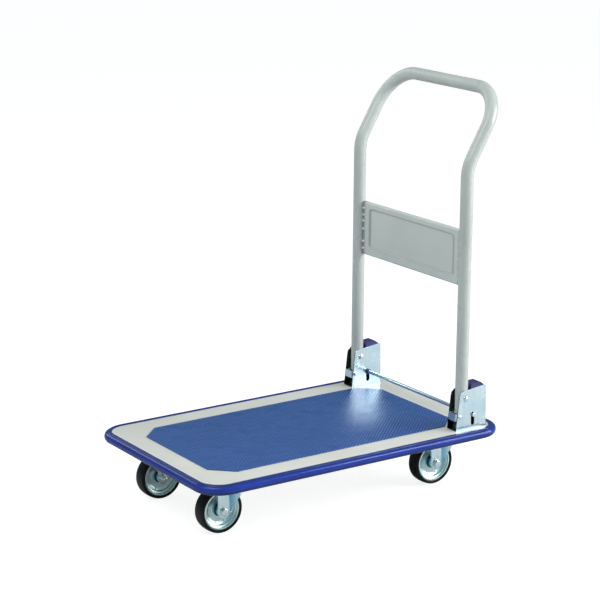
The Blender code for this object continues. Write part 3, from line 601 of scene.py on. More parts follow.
def post_x(z):
    """How far along the cart the middle of a post is at a height."""
    return PIVOT[0] + (z - PIVOT[2]) * math.tan(POST_LEAN)


def make_handle_tube():
    """The tube's centre line runs up a post, back over the slope, across the bar and down again. Rings of the
    outside run along it and rings of the bore run back, and the first and last pair close the cut ends."""
    side = [(post_x(FOOT_Z), POST_Y, FOOT_Z), (post_x(BEND_Z), POST_Y, BEND_Z), (BAR_X, POST_Y, BAR_Z)]
    corners = side + [(x, -y, z) for x, y, z in reversed(side)]
    radii = [0, BEND_RADIUS, CORNER_RADIUS, CORNER_RADIUS, BEND_RADIUS, 0]
    path = rounded(corners, radii, 20, closed=False)
    slope = np.array(corners[2]) - np.array(corners[1])
    upward = np.array([-slope[2], 0, slope[0]]) / np.linalg.norm(slope)
    outside = rings(path, TUBE_RADIUS, TUBE_SIDES, upward)
    bore = rings(path, TUBE_RADIUS - TUBE_WALL, TUBE_SIDES, upward)[::-1]
    skin = np.concatenate([outside, bore])
    tube = build("handle", skin, grid_faces(len(skin), TUBE_SIDES, True, True), 40)
    reach = 2 * TUBE_RADIUS
    drill = [(0, -reach), (PIVOT_HOLE, -reach), (PIVOT_HOLE, reach), (0, reach)]
    return carve(tube, *(
        ("DIFFERENCE", turned("drill", drill, "Y", (PIVOT[0], y, PIVOT[2]), 24)) for y in (POST_Y, -POST_Y)
    ))


handle = make_handle_tube()
handle.data.materials.append(powder_coat("powder_coat_grey", GREY, 0.30))
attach(handle, "handle")
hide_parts("handle_tube")


def moulded_plastic(name, colour, roughness):
    """Injection moulded plastic: a fine spark-eroded grain and slightly uneven gloss."""
    look, tree, noise = new_look(name)
    tint = blended(tree, spread(tree, noise(60, 4), 0.0, 1.0), colour, toned(colour, 1.5, 0.004))
    gloss = spread(tree, noise(120, 3), roughness - 0.06, roughness + 0.10)
    finished(tree, tint, gloss, noise(1500, 2), 0.25, 0.3 * MM)
    return look


plug_plastic = moulded_plastic("plastic_plug", (0.018, 0.019, 0.020), 0.48)
for side in ("right", "left"):
    coat_node(side + "_post_plug", plug_plastic)


# ---- Handle panel ----------------------------------------------------------------------------------------
# A pressed steel sheet stiffens the handle between the posts. Its long edges are rolled back, a shallow
# rounded field is pressed into its face, and short weld runs hold its ends to the tube.

# The panel is given the handle's grey painted paler, a painted lift of light on its face; the welds share it
# as a painted highlight.
PANEL_GREY_PAINTED_PALER = (0.640, 0.680, 0.630)
PANEL_LOW, PANEL_HIGH = np.array(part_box("handle_panel"))
PANEL_TALL = 120 * MM
PANEL_SHEET = 1.2 * MM
PANEL_ROLL = 4.5 * MM
PANEL_RETURN = 9 * MM
FIELD_END = 28 * MM
FIELD_EDGE = 16.5 * MM
FIELD_RISE = 3 * MM
FIELD_CORNER = 7 * MM
FIELD_DEPTH = 2.2 * MM
FIELD_STEP = 2.8 * MM
PANEL_MIDDLE_Z = (PANEL_LOW[2] + PANEL_HIGH[2]) / 2
PANEL_MIDDLE_X = post_x(PANEL_MIDDLE_Z)
PANEL_REACH = PANEL_HIGH[1]
FIELD = np.array([PANEL_REACH - FIELD_END, PANEL_TALL / 2 - FIELD_EDGE])
SEAM = 8.0 * MM


def thick(name, sheet, depth, sharp=35):
    """Both skins of a folded sheet given as a grid of points: the second skin lies the depth away along the
    first one's normal, the cross product of the grid's two directions, and four strips close the edges."""
    normal = np.cross(np.gradient(sheet, axis=0), np.gradient(sheet, axis=1))
    normal /= np.linalg.norm(normal, axis=-1)[..., None]
    other = sheet - normal * depth
    rows, columns = sheet.shape[:2]
    count = rows * columns
    faces = np.array(grid_faces(rows, columns))
    index = np.arange(count).reshape(rows, columns)
    rim = np.concatenate([index[0, :-1], index[:-1, -1], index[-1, :0:-1], index[:0:-1, 0]])
    following = np.roll(rim, -1)
    edge = np.stack([rim, following, following + count, rim + count], axis=-1)
    both = np.concatenate([faces, faces[:, ::-1] + count, edge[:, ::-1]]).tolist()
    return build(name, np.concatenate([sheet.reshape(-1, 3), other.reshape(-1, 3)]), both, sharp)


def steps_between(*marks):
    """Evenly spaced values between each two marks: (value, count) pairs, then a last value."""
    runs = [np.linspace(a, b, n, endpoint=False) for (a, n), (b, _) in zip(marks, marks[1:])]
    return np.concatenate(runs + [np.array([marks[-1][0]])])


def past_field(y, height):
    """Signed distance outside the pressed field, a rounded rectangle: negative within it."""
    q = np.abs(np.stack([y, height - FIELD_RISE])) - (FIELD.reshape(2, *[1] * np.ndim(y)) - FIELD_CORNER)
    return np.linalg.norm(np.maximum(q, 0), axis=0) + np.minimum(q.max(axis=0), 0) - FIELD_CORNER


def make_panel():
    """The sheet's height is carried over its rolled edges as (back, up) points. On the flat face the field
    lies deeper by a smooth step of the distance inside its outline."""
    half = PANEL_TALL / 2
    w = FIELD_STEP
    y = steps_between(
        (-PANEL_REACH, 6), (-FIELD[0] - w, 8), (-FIELD[0] + w, 8), (12 * MM - FIELD[0], 30),
        (FIELD[0] - 12 * MM, 8), (FIELD[0] - w, 8), (FIELD[0] + w, 6), (PANEL_REACH, 0),
    )
    flat = half - PANEL_ROLL
    low, high = FIELD_RISE - FIELD[1], FIELD_RISE + FIELD[1]
    up = steps_between(
        (-flat, 5), (low - w, 8), (low + w, 8), (low + 12 * MM, 14),
        (high - 12 * MM, 8), (high - w, 8), (high + w, 5), (flat, 0),
    )
    turn = np.linspace(0, math.pi / 2, 9)[1:]
    roll_up = flat + PANEL_ROLL * np.sin(turn)
    roll_back = PANEL_ROLL * (1 - np.cos(turn))
    height = np.concatenate([[-half], -roll_up[::-1], up, roll_up, [half]])
    behind = np.concatenate([[PANEL_RETURN], roll_back[::-1], np.zeros(len(up)), roll_back, [PANEL_RETURN]])
    gy, gz = np.meshgrid(y, height)
    inside = smooth_step(-past_field(gy, gz), -FIELD_STEP / 2, FIELD_STEP / 2)
    depth = behind[:, None] + FIELD_DEPTH * inside - PANEL_SHEET / 2
    x = PANEL_MIDDLE_X + depth * math.cos(POST_LEAN) + gz * math.sin(POST_LEAN)
    z = PANEL_MIDDLE_Z + gz * math.cos(POST_LEAN) - depth * math.sin(POST_LEAN)
    sheet = np.stack([x, gy, z], axis=-1)
    return thick("panel", sheet, PANEL_SHEET)


def panel_painted_shade(x, y, z):
    """Painted shade lies along the field's outline, most at its two ends, and in the open seams beside the
    posts.
    """
    height = z - PANEL_MIDDLE_Z
    sideways = np.abs(y) - FIELD[0] > np.abs(height - FIELD_RISE) - FIELD[1]
    wide = np.where(sideways, 2.8 * MM, 1.5 * MM)
    held = np.where(sideways, np.where(y < 0, 1.0, 0.55), np.where(height < 0, 0.5, 0.2))
    line = np.exp(-((past_field(y, height) / wide) ** 2)) * held
    seam = 0.85 * smooth_step(np.abs(y), PANEL_REACH - SEAM - 1.5 * MM, PANEL_REACH - SEAM + 0.5 * MM)
    return np.maximum(line, seam)


panel = make_panel()
# Painted shade: the field's outline and the seams beside the posts are darkened where shade falls.
painted_shade(panel, panel_painted_shade)
panel_coat_painted_paler = powder_coat("powder_coat_panel_painted_paler", PANEL_GREY_PAINTED_PALER, 0.36)
panel.data.materials.append(panel_coat_painted_paler)
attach(panel, "handle")
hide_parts("handle_panel")

WELD_RUNS = (-46 * MM, -30 * MM, -2 * MM, 16 * MM, 30 * MM, 45 * MM)
WELD_LONG, WELD_WIDE = 6.0 * MM, 5.2 * MM
WELD_INSET = 4.5 * MM


def make_weld(name, y, middle):
    """A run of weld laid along the joint: each circle's radius is the root of 1 less the square of its
    distance along, which closes both ends, times a cosine that leaves four ripples."""
    along = np.linspace(-1, 1, 41)
    radius = WELD_WIDE * np.sqrt(np.clip(1 - along**2, 0, 1)) * (0.90 + 0.10 * np.cos(along * 4 * math.pi))
    angle = np.arange(14) * math.tau / 14
    z = PANEL_MIDDLE_Z + middle + along * WELD_LONG / 2
    x = post_x(z) - PANEL_SHEET / 2
    points = np.stack([
        x[:, None] + 0.5 * radius[:, None] * np.cos(angle),
        y + radius[:, None] * np.sin(angle),
        np.broadcast_to(z[:, None], (41, 14)),
    ], axis=-1)
    return build(name, points, grid_faces(41, 14, wrap_columns=True), 60)


for side, y in (("right", -1), ("left", 1)):
    for number, middle in enumerate(WELD_RUNS, start=1):
        weld = make_weld(f"{side}_weld_{number}", y * (PANEL_REACH - WELD_INSET), middle)
        # The weld beads take the panel's paler coat, a painted highlight.
        weld.data.materials.append(panel_coat_painted_paler)
        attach(weld, "handle")


# ---- Hinge brackets --------------------------------------------------------------------------------------
# Each post stands in a zinc-plated bracket folded to a U round its back. A slot in both cheeks guides the
# lock rod, two hexagon bolts hold the base to the deck, and a strip closes the lower front.

CHEEK = 1.8 * MM
BRACKET_LOW, BRACKET_HIGH = np.array(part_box("right_bracket"))
BRACKET_HALF = (BRACKET_HIGH[1] - BRACKET_LOW[1]) / 2
BRACKET_SLANT = 10.7 * MM
BRACKET_FRONT_TOP = DECK_TOP + 85.1 * MM
ROD_LOW, ROD_HIGH = np.array(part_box("lock_rod"))
ROD_X, _, ROD_Z = (ROD_LOW + ROD_HIGH) / 2
ROD_RADIUS = (ROD_HIGH[2] - ROD_LOW[2]) / 2
SLOT_TRAVEL = 18 * MM
SLOT_HALF = ROD_RADIUS + 0.5 * MM
SLOT_HEADROOM = 1.5 * MM
EDGE_EASE = 0.3 * MM
STRAP_SHEET = 1.6 * MM
BASE_BOLT_HIGH, CROWN = 5.75 * MM, 0.15 * MM
TOUCH = 0.05 * MM
ZINC_COOL, ZINC_WARM = (0.64, 0.87, 0.98), (0.82, 0.93, 0.96)
# The first two colours below are painted: a dark teal standing for a dark reflection and a near black
# standing for shade.
ZINC_PAINTED_TEAL, ZINC_SHADED, ZINC_DULL = (0.07, 0.33, 0.52), (0.030, 0.060, 0.060), (0.50, 0.56, 0.56)


def prism(name, outline, axis, low, high):
    """A flat outline carried straight along an axis, with both ends closed."""
    outline = np.asarray(outline, float)
    count = len(outline)
    a, b = outline.T
    ends = [{"Y": (a, np.full(count, t), b), "Z": (a, b, np.full(count, t))}[axis] for t in (low, high)]
    return build(name, np.stack([np.stack(end, axis=-1) for end in ends]), tube_faces(2, count))


def ease_edges(made, width=EDGE_EASE, segments=2, angle=40):
    """A live bevel that takes the sharpness off pressed and sheared edges."""
    bevel = made.modifiers.new("eased edges", "BEVEL")
    bevel.width = width
    bevel.segments = segments
    bevel.limit_method = "ANGLE"
    bevel.angle_limit = math.radians(angle)
    bevel.harden_normals = True
    return made


def zinc_plate(name, grain=(1, 1, 1), roughness=0.20, cool=ZINC_COOL, warm=ZINC_WARM):
    """Bright zinc with a thin blue passivation: clouds of blue and straw, faint rolling or turning lines
    along one direction, dull marks where it has been handled, and a slight ripple from pressing. Where
    painted shade is kept, the colour turns first to a painted dark teal, for a dark reflection, and then to a
    painted near black, for shade."""
    look, tree, noise = new_look(name)
    clouds = spread(tree, noise(24, 5, roughness=0.6), 0.0, 1.0, 0.35, 0.65)
    lines = spread(tree, noise(330, 2, grain), 0.0, 1.0, 0.35, 0.65)
    plated = blended(tree, clouds, cool, warm)
    streaked = blended(tree, spread(tree, lines, 0.0, 0.28, 0.0, 1.0), plated, toned(cool, 0.72))
    marks = spread(tree, noise(95, 6, roughness=0.7), 0.0, 0.35, 0.62, 0.76)
    tint = blended(tree, marks, streaked, ZINC_DULL)
    share = painted_shade_share(tree)
    tint = blended(tree, spread(tree, share, 0.0, 1.0, 0.0, 0.5), tint, ZINC_PAINTED_TEAL)
    tint = blended(tree, spread(tree, share, 0.0, 1.0, 0.5, 1.0), tint, ZINC_SHADED)
    polish = spread(tree, noise(33, 5), roughness, roughness + 0.10)
    gloss = combined(tree, "ADD", polish, spread(tree, marks, 0.0, 0.2, 0.0, 1.0))
    shader = finished(tree, tint, gloss, combined(tree, "ADD", noise(60, 2), lines), 0.05, 0.4 * MM)
    shader.inputs["Metallic"].default_value = 1.0
    return look


def shade_inside(made, y, inner, wall):
    """Marks the faces inside the U with painted shade, a near black for the shade in its hollow: those whose
    middles lie no further out than its inner walls."""
    middles = np.empty(len(made.data.polygons) * 3)
    made.data.polygons.foreach_get("center", middles)
    x, across, _ = middles.reshape(-1, 3).T
    held = (np.abs(across - y) < inner + TOUCH) & (x < wall + TOUCH)
    made.data.attributes.new("painted_shade", "FLOAT", "FACE").data.foreach_set("value", held.astype(float))


def make_bracket(name, y):
    """The U of the fold is an outline carried up, joined to its base, trimmed to the side view and
    slotted."""
    x0, x1 = BRACKET_LOW[0], BRACKET_HIGH[0]
    low, high = BRACKET_LOW[2], BRACKET_HIGH[2]
    outer, inner = BRACKET_HALF, BRACKET_HALF - CHEEK
    wall = x1 - CHEEK
    start = x0 - 2 * MM
    outside = [(start, y - outer), (x1, y - outer), (x1, y + outer), (start, y + outer)]
    inside = [(start, y + inner), (wall, y + inner), (wall, y - inner), (start, y - inner)]
    fold = np.concatenate([
        rounded(outside, [0, 5 * MM, 5 * MM, 0], 10), rounded(inside, [0, 3.2 * MM, 3.2 * MM, 0], 10),
    ])
    bracket = prism(name, fold, "Z", low, high + 3 * MM)
    sunk = inner + CHEEK / 2
    end = wall + CHEEK / 2
    sole = [(x0, y - sunk), (end, y - sunk), (end, y + sunk), (x0, y + sunk)]
    base = prism("base", sole, "Z", low, low + 2 * MM)
    side_view = [(x0, low), (x1, low), (x1, high), (x0 + BRACKET_SLANT, BRACKET_FRONT_TOP)]
    side_view = rounded(side_view, [0, 0, 8 * MM, 14 * MM], 14)
    trim = prism("trim", side_view, "Y", y - 2 * outer, y + 2 * outer)
    half = SLOT_HALF
    slot = rounded(
        [(ROD_X - half, ROD_Z - SLOT_TRAVEL - half), (ROD_X + half, ROD_Z - SLOT_TRAVEL - half),
         (ROD_X + half, ROD_Z + half + SLOT_HEADROOM), (ROD_X - half, ROD_Z + half + SLOT_HEADROOM)],
        [half * 0.98] * 4, 8,
    )
    cutter = prism("slot", slot, "Y", y - 2 * outer, y + 2 * outer)
    carve(bracket, ("UNION", base), ("INTERSECT", trim), ("DIFFERENCE", cutter))
    # Painted shade: the faces inside the U are turned near black.
    shade_inside(bracket, y, inner, wall)
    return ease_edges(bracket)


def make_hex_head(name, centre, across, height, axis, washer, washer_high, facing=1):
    """A hexagon head on a flat washer: the outline's radius is its half width over the cosine of the angle
    from the nearest flat. The top edge is cut back by a cone, so that each corner falls lower than the
    flats."""
    angle = np.arange(72) * math.tau / 72
    sector = math.pi / 3
    hexagon = across / 2 / np.cos((angle + sector / 2) % sector - sector / 2)
    top = across / 2 * 0.94
    corner = height - np.clip((hexagon - top) * 0.55, 0, height * 0.3)
    ring = np.ones_like(angle)
    rows = [
        (0 * ring, 0 * ring), (washer * ring, 0 * ring), (washer * ring, (washer_high - 0.2 * MM) * ring),
        ((washer - 0.3 * MM) * ring, washer_high * ring), (hexagon, washer_high * ring), (hexagon, corner),
        (top * ring, height * ring), (top * 0.86 * ring, height * ring), (0 * ring, (height + CROWN) * ring),
    ]
    radius, rise = (np.array(values) for values in zip(*rows))
    a, b = radius * np.cos(angle), radius * np.sin(angle)
    points = {"Z": np.stack([a, b, rise * facing], -1), "Y": np.stack([a, rise * facing, b], -1)}[axis]
    faces = grid_faces(len(rows), 72, wrap_columns=True)
    return build(name, points + np.asarray(centre), faces, 25)


def make_dome_rivet(name, node_name):
    """A pin through both cheeks. Each head is a flattened dome, radius by the cosine and height by the sine
    of one angle."""
    low, high = np.array(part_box(node_name))
    head, reach, _ = (high - low) / 2
    turn = np.linspace(0, math.pi / 2, 9)
    dome = np.stack([head * np.cos(turn), BRACKET_HALF + (reach - BRACKET_HALF) * np.sin(turn)], axis=-1)
    shank = head * 0.62
    profile = np.concatenate([dome[::-1], [(shank, BRACKET_HALF), (shank, -BRACKET_HALF)], dome * (1, -1)])
    return turned(name, profile, "Y", (low + high) / 2, 40, 40)


def make_strap(name, node_name):
    """A U of strip: its arms lie inside the cheeks and its bend stands just proud of their front edges."""
    (x0, y0, z0), (x1, y1, z1) = np.array(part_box(node_name))
    s = STRAP_SHEET
    corners = [
        (x1, y0), (x1, y0 + s), (x0 + s, y0 + s), (x0 + s, y1 - s),
        (x1, y1 - s), (x1, y1), (x0, y1), (x0, y0),
    ]
    outline = rounded(corners, [0, 0, 1.9 * MM, 1.9 * MM, 0, 0, 3.5 * MM, 3.5 * MM], 7)
    return ease_edges(prism(name, outline, "Z", z0, z1))


zinc_sheet = zinc_plate("zinc_sheet", (1, 1, 0.06), 0.20)
zinc_strip = zinc_plate("zinc_strip", (1, 1, 0.06), 0.36)
zinc_fixing = zinc_plate("zinc_fixing", (1, 1, 1), 0.22, (0.70, 0.88, 0.96), (0.90, 0.96, 0.96))
for side in ("right", "left"):
    middle = np.array(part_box(side + "_bracket")).mean(axis=0)
    made = [(make_bracket(side + "_hinge_bracket", middle[1]), "_bracket", zinc_sheet)]
    for end in ("front", "rear"):
        low, high = np.array(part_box(f"{side}_bracket_bolt_{end}"))
        seat = (*((low + high) / 2)[:2], high[2] - BASE_BOLT_HIGH - CROWN)
        head = make_hex_head(
            f"{side}_base_bolt_{end}", seat, 13 * MM, BASE_BOLT_HIGH, "Z", 7.4 * MM, 1.2 * MM
        )
        made.append((head, f"_bracket_bolt_{end}", zinc_fixing))
    made.append((make_strap(side + "_front_strap", side + "_strap"), "_strap", zinc_strip))
    for pin in ("pivot", "stop"):
        rivet = make_dome_rivet(f"{side}_{pin}_pin", f"{side}_{pin}_rivet")
        made.append((rivet, f"_{pin}_rivet", zinc_fixing))
    for piece, stands_for, finish in made:
        piece.data.materials.append(finish)
        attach(piece, "cart")
        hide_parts(side + stands_for)


# ---- Stop pads -------------------------------------------------------------------------------------------
# A block of dark rubber is held between the cheeks behind each post, where the upright handle comes to rest.


def make_stop_pad(name, node_name):
    """The side view slopes down to the rear from a rounded crest and is carried between the cheeks."""
    (x0, y0, z0), (x1, y1, z1) = np.array(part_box(node_name))
    corners = [
        (x0, z0), (x1, z0), (x1, z1 - 7.4 * MM), (x0 + (x1 - x0) * 0.73, z1),
        (x0 + 2 * MM, z1 - 1.5 * MM), (x0, z1 - 5.4 * MM),
    ]
    outline = rounded(corners, [0.6 * MM, 0.6 * MM, 2.4 * MM, 2.4 * MM, 1.2 * MM, 1.2 * MM], 6)
    return ease_edges(prism(name, outline, "Y", y0, y1), 0.8 * MM, 3)


pad_rubber = moulded_plastic("rubber_pad", (0.033, 0.024, 0.120), 0.50)
for side in ("right", "left"):
    pad = make_stop_pad(side + "_rubber_stop", side + "_stop_pad")
    pad.data.materials.append(pad_rubber)
    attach(pad, "cart")
    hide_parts(side + "_stop_pad")


# ---- Lock rod and springs --------------------------------------------------------------------------------
# A plated bar runs through the slots of both brackets behind the posts, with a rubber collar against each
# inner cheek. A coil spring stands under each end, and pressing the bar down with a foot frees the handle.

SPRING_WIRE, SPRING_TURNS, WIRE_SIDES = 0.6 * MM, 4.5, 10
CLOSED_TURN, CLOSED_RISE = 4.2, 2.64 * MM
COLLAR_RADIUS, COLLAR_HALF, COLLAR_PLACE = 6.4 * MM, 1.3 * MM, 1.9 * MM


def make_rod():
    """A round bar: its ends are turned to a quarter circle."""
    ease = 1.0 * MM
    reach = ROD_HIGH[1]
    turn = np.linspace(0, math.pi / 2, 6)
    end = np.stack([ROD_RADIUS - ease + ease * np.cos(turn), reach - ease + ease * np.sin(turn)], axis=-1)
    profile = np.concatenate([[(0, reach)], end[::-1], end * (1, -1), [(0, -reach)]])
    return turned("foot_bar", profile, "Y", (ROD_X, 0, ROD_Z), 40, 40)


def make_spring(name, node_name):
    """A helix: the height climbs slowly over the closed first and last turns and evenly between them."""
    low, high = np.array(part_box(node_name))
    middle = (low + high) / 2
    radius = (high[1] - low[1]) / 2 - SPRING_WIRE
    turn = np.linspace(0, SPRING_TURNS * math.tau, int(SPRING_TURNS * 28) + 1)
    climb = np.clip((turn - CLOSED_TURN) / (turn[-1] - 2 * CLOSED_TURN), 0, 1)
    creep = (np.minimum(turn, CLOSED_TURN) + np.maximum(turn - turn[-1] + CLOSED_TURN, 0)) / (2 * CLOSED_TURN)
    tall = high[2] - low[2] - 2 * SPRING_WIRE
    z = low[2] + SPRING_WIRE + climb * (tall - CLOSED_RISE) + creep * CLOSED_RISE
    path = np.stack([middle[0] + radius * np.cos(turn), middle[1] + radius * np.sin(turn), z], axis=-1)
    coil = rings(path, SPRING_WIRE, WIRE_SIDES, np.array([0.0, 0.0, 1.0]))
    return build(name, coil, tube_faces(len(path), WIRE_SIDES), 50)


def make_collar(name, y):
    """A ring with eased outer edges, let a little into the bar."""
    radius, half, edge = COLLAR_RADIUS, COLLAR_HALF, 0.3 * MM
    side = np.array([(radius, half - edge), (radius - edge, half), (ROD_RADIUS - 0.2 * MM, half)])
    return turned(name, np.concatenate([side[::-1] * (1, -1), side]), "Y", (ROD_X, y, ROD_Z), 40, 40)


rod = make_rod()
rod.data.materials.append(zinc_plate("zinc_bar", (1, 0.04, 1), 0.10))
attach(rod, "lock")
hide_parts("lock_rod")

for side, y in (("right", -1), ("left", 1)):
    cheek = min(abs(BRACKET_LOW[1]), abs(BRACKET_HIGH[1]))
    collar = make_collar(side + "_bar_collar", y * (cheek - COLLAR_PLACE))
    collar.data.materials.append(pad_rubber)
    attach(collar, "lock")

spring_wire = zinc_plate("spring_wire", (1, 1, 1), 0.26, (0.40, 0.42, 0.44), (0.50, 0.50, 0.49))
for side in ("right", "left"):
    spring = make_spring(side + "_coil_spring", side + "_lock_spring")
    spring.data.materials.append(spring_wire)
    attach(spring, "cart")
    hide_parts(side + "_lock_spring")
    seat, crest = np.array(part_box(side + "_lock_spring"))
    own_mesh(spring)


# ---- Caster forks and plates -----------------------------------------------------------------------------
# Each fork is one zinc-plated sheet folded to a U over its wheel: two flat legs with round ends, and a wing
# swept back and drawn inwards. The front pair is fixed to its mounting plates; the rear pair turns on balls.

CASTERS = (
    ("right_front", "cart", "right_front_wheel"),
    ("left_front", "cart", "left_front_wheel"),
    ("right_rear", "right_rear_swivel", "right_rear_wheel"),
    ("left_rear", "left_rear_swivel", "left_rear_wheel"),
)
FORK_SHEET = 2.5 * MM
FORK_HALF = 22.3 * MM
LEG_RADIUS = 13.2 * MM
WING_REACH = 57 * MM
WING_SLOPE = math.radians(47.5)
FORK_FOLD = 7 * MM
FORK_DRAW, WING_DRAW, TAIL_DRAW = 1.0 * MM, 2.2 * MM, 4.5 * MM
PLATE_SIZE = np.array((92 * MM, 80 * MM))
PLATE_BOLTS = np.array((36 * MM, 32 * MM))
CORNERS = ((-1, -1), (1, -1), (1, 1), (-1, 1))


def wheel_centre(prefix):
    """The middle of the wheel's rim, which is the axle's middle."""
    return np.array(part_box(prefix + "_rim")).mean(axis=0)


def make_fork(name, centre, top):
    """A grid of points: columns follow the fold up one leg, across the top and down the other, and rows run
    from the front edge to the rear. The front edge is upright over a half circle; the rear edge leaves the
    circle along the wing's slope. The wing is drawn in by a small step behind the leg and by two smooth
    steps of its distance from the axle."""
    rise = top - centre[2]
    r = LEG_RADIUS
    foot = -r * np.cos(np.linspace(math.radians(7), math.pi / 2, 10))
    leg = np.concatenate([foot, np.linspace(0, rise - FORK_FOLD, 22)[1:]])
    turn = np.linspace(0, math.pi / 2, 7)[1:-1]
    level = np.linspace(-(FORK_HALF - FORK_FOLD), FORK_HALF - FORK_FOLD, 9)
    z = np.concatenate([leg, rise - FORK_FOLD * (1 - np.sin(turn)), np.full(9, rise)])
    z = np.concatenate([z, z[:len(leg) + len(turn)][::-1]])
    y = np.concatenate([np.full(len(leg), -FORK_HALF), FORK_FOLD * (1 - np.cos(turn)) - FORK_HALF])
    y = np.concatenate([y, level, -y[::-1]])
    circle = np.sqrt(np.clip(r**2 - z**2, 0, None))
    front = np.where(z < 0, -circle, -r)
    slope = r / math.sin(WING_SLOPE) + z / math.tan(WING_SLOPE)
    rear = np.where(z < -r * math.cos(WING_SLOPE), circle, np.minimum(slope, WING_REACH))
    share = np.linspace(0, 1, 25)[:, None]
    x = front + (rear - front) * share
    away = np.sqrt(x**2 + z**2)
    draw = FORK_DRAW + WING_DRAW * smooth_step(away, 13 * MM, 36 * MM)
    draw += TAIL_DRAW * smooth_step(away, 49 * MM, 64 * MM)
    across = y * (1 - draw * smooth_step(x, LEG_RADIUS - 1.5 * MM, LEG_RADIUS + 5.5 * MM) / FORK_HALF)
    sheet = np.stack([x, across, np.broadcast_to(z, x.shape)], axis=-1) + centre
    fork = thick(name, sheet, FORK_SHEET, 40)
    # Painted reflection: the wing behind the leg is tinted a dark teal, fading towards its rear edge, for the
    # dark deck underside it mirrors.
    painted_shade(fork, lambda x, y, z: (
        0.42 * smooth_step(x - centre[0], LEG_RADIUS - 1 * MM, LEG_RADIUS + 1 * MM)
        * (1 - 0.7 * smooth_step(x - centre[0], LEG_RADIUS + 5 * MM, LEG_RADIUS + 27 * MM))
    ))
    return ease_edges(fork, 0.35 * MM)


def make_plate(name, middle, low, high):
    """A rectangle with rounded corners carried through the plate's thickness."""
    corners = [middle + PLATE_SIZE / 2 * toward for toward in CORNERS]
    return ease_edges(prism(name, rounded(corners, [7 * MM] * 4, 10), "Z", low, high), 0.4 * MM)


def make_race(name, middle, top):
    """The raised ball track on the fork's crown: a (radius, height) profile of a shallow cup turned about the
    kingpin."""
    corners = [
        (0, -FORK_SHEET / 2), (29.6 * MM, -FORK_SHEET / 2), (29.6 * MM, 0), (25 * MM, 0.6 * MM),
        (23.6 * MM, 2.8 * MM), (21.6 * MM, 2.8 * MM), (19 * MM, 0.5 * MM), (15 * MM, 0.4 * MM), (0, 0.4 * MM),
    ]
    radii = [0, 0.6 * MM, 0.6 * MM, 1 * MM, 0.8 * MM, 0.8 * MM, 1.5 * MM, 1 * MM, 0]
    return turned(name, rounded(corners, radii, 4), "Z", (middle[0], middle[1], top), 64, 40)


for prefix, body, _ in CASTERS:
    axle = wheel_centre(prefix)
    fork_low, fork_high = np.array(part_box(prefix + "_fork"))
    swivels = body != "cart"
    top = fork_high[2] if swivels else fork_high[2] - FORK_SHEET
    fork = make_fork(prefix + "_caster_fork", axle, top)
    fork.data.materials.append(zinc_sheet)
    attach(fork, body)
    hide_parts(prefix + "_fork")
    if swivels:
        low, high = np.array(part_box(prefix + "_top_plate"))
        middle, plate_low, plate_high = (low + high)[:2] / 2, low[2], high[2]
        race = make_race(prefix + "_ball_race", middle, top)
        race.data.materials.append(zinc_sheet)
        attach(race, body)
        for hidden in ("_kingpin", "_ball_ring"):
            coat_node(prefix + hidden, zinc_fixing)
    else:
        middle = np.array([(fork_low[0] + fork_high[0]) / 2, axle[1]])
        plate_low, plate_high = top, fork_high[2]
    plate = make_plate(prefix + "_mounting_plate", middle, plate_low, plate_high)
    plate.data.materials.append(zinc_sheet)
    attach(plate, "cart")
    if swivels:
        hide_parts(prefix + "_top_plate")
    for corner, toward in enumerate(CORNERS, start=1):
        name = f"{prefix}_plate_bolt_{corner}"
        place = (*(middle + PLATE_BOLTS * toward), plate_low)
        bolt = make_hex_head(name, place, 10 * MM, 5 * MM, "Z", 7 * MM, 1 * MM, -1)
        bolt.data.materials.append(zinc_fixing)
        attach(bolt, "cart")


# ---- Wheels ----------------------------------------------------------------------------------------------
# A wheel is two pressed and plated discs spot-welded back to back round a hub, with a black rubber tyre
# shrunk over their rims. It turns on a sleeve round the axle bolt, which is held by a nut inboard.

_, TYRE_HALF, WHEEL_RADIUS = np.ptp(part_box("right_front_tyre"), axis=0) / 2
_, HUB_HALF, BAND = np.ptp(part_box("right_front_rim"), axis=0) / 2
RIM_HALF = 14 * MM
WEB_HALF = 4.4 * MM
BORE = 7.6 * MM
BARREL_SHADE = 13.6 * MM
SPOTS, SPOT_SIDES = 8, 14
SPOT_CIRCLE = 28.0 * MM
AXLE_GRIP = FORK_HALF + 0.3 * MM
AXLE_HEXAGON, AXLE_WASHER = 13.6 * MM, 8.0 * MM
RUBBER_BLACK, RUBBER_BLOOM = (0.0040, 0.0036, 0.0042), (0.0105, 0.0095, 0.0095)
RUBBER_DUST = (0.04, 0.038, 0.035)


def make_rim(name, centre):
    """Half of the section, mirrored and turned about the axle: down the hub's straight barrel, out over a
    stiffening step and a dish, up the shoulder and over the rolled rim. Painted shade, a near black, lies
    round the barrel."""
    corners = [
        (BORE, HUB_HALF), (11.6 * MM, HUB_HALF), (11.8 * MM, 5.4 * MM), (15 * MM, WEB_HALF + 0.6 * MM),
        (19 * MM, WEB_HALF + 0.6 * MM), (20.5 * MM, WEB_HALF), (26.5 * MM, WEB_HALF),
        (31.0 * MM, WEB_HALF + 2.4 * MM), (33.4 * MM, 10.2 * MM), (36.2 * MM, 11.4 * MM),
        (37.4 * MM, RIM_HALF), (BAND - 0.3 * MM, RIM_HALF), (BAND, RIM_HALF - 0.4 * MM),
    ]
    radii = [0, 1, 1.2, 1, 1, 1, 3, 2, 1.6, 1.2, 0.7, 0.2, 0]
    half = rounded(corners, [radius * MM for radius in radii], 6, closed=False)
    profile = np.concatenate([half * (1, -1), half[::-1]])
    rim = turned(name, profile, "Y", centre, 96, 50)
    # Painted shade: the barrel between the hub's ends is turned near black.
    painted_shade(rim, lambda x, y, z: (
        (np.hypot(x - centre[0], z - centre[2]) < BARREL_SHADE) & (np.abs(y - centre[1]) < HUB_HALF - 1.2 * MM)
    ))
    return rim


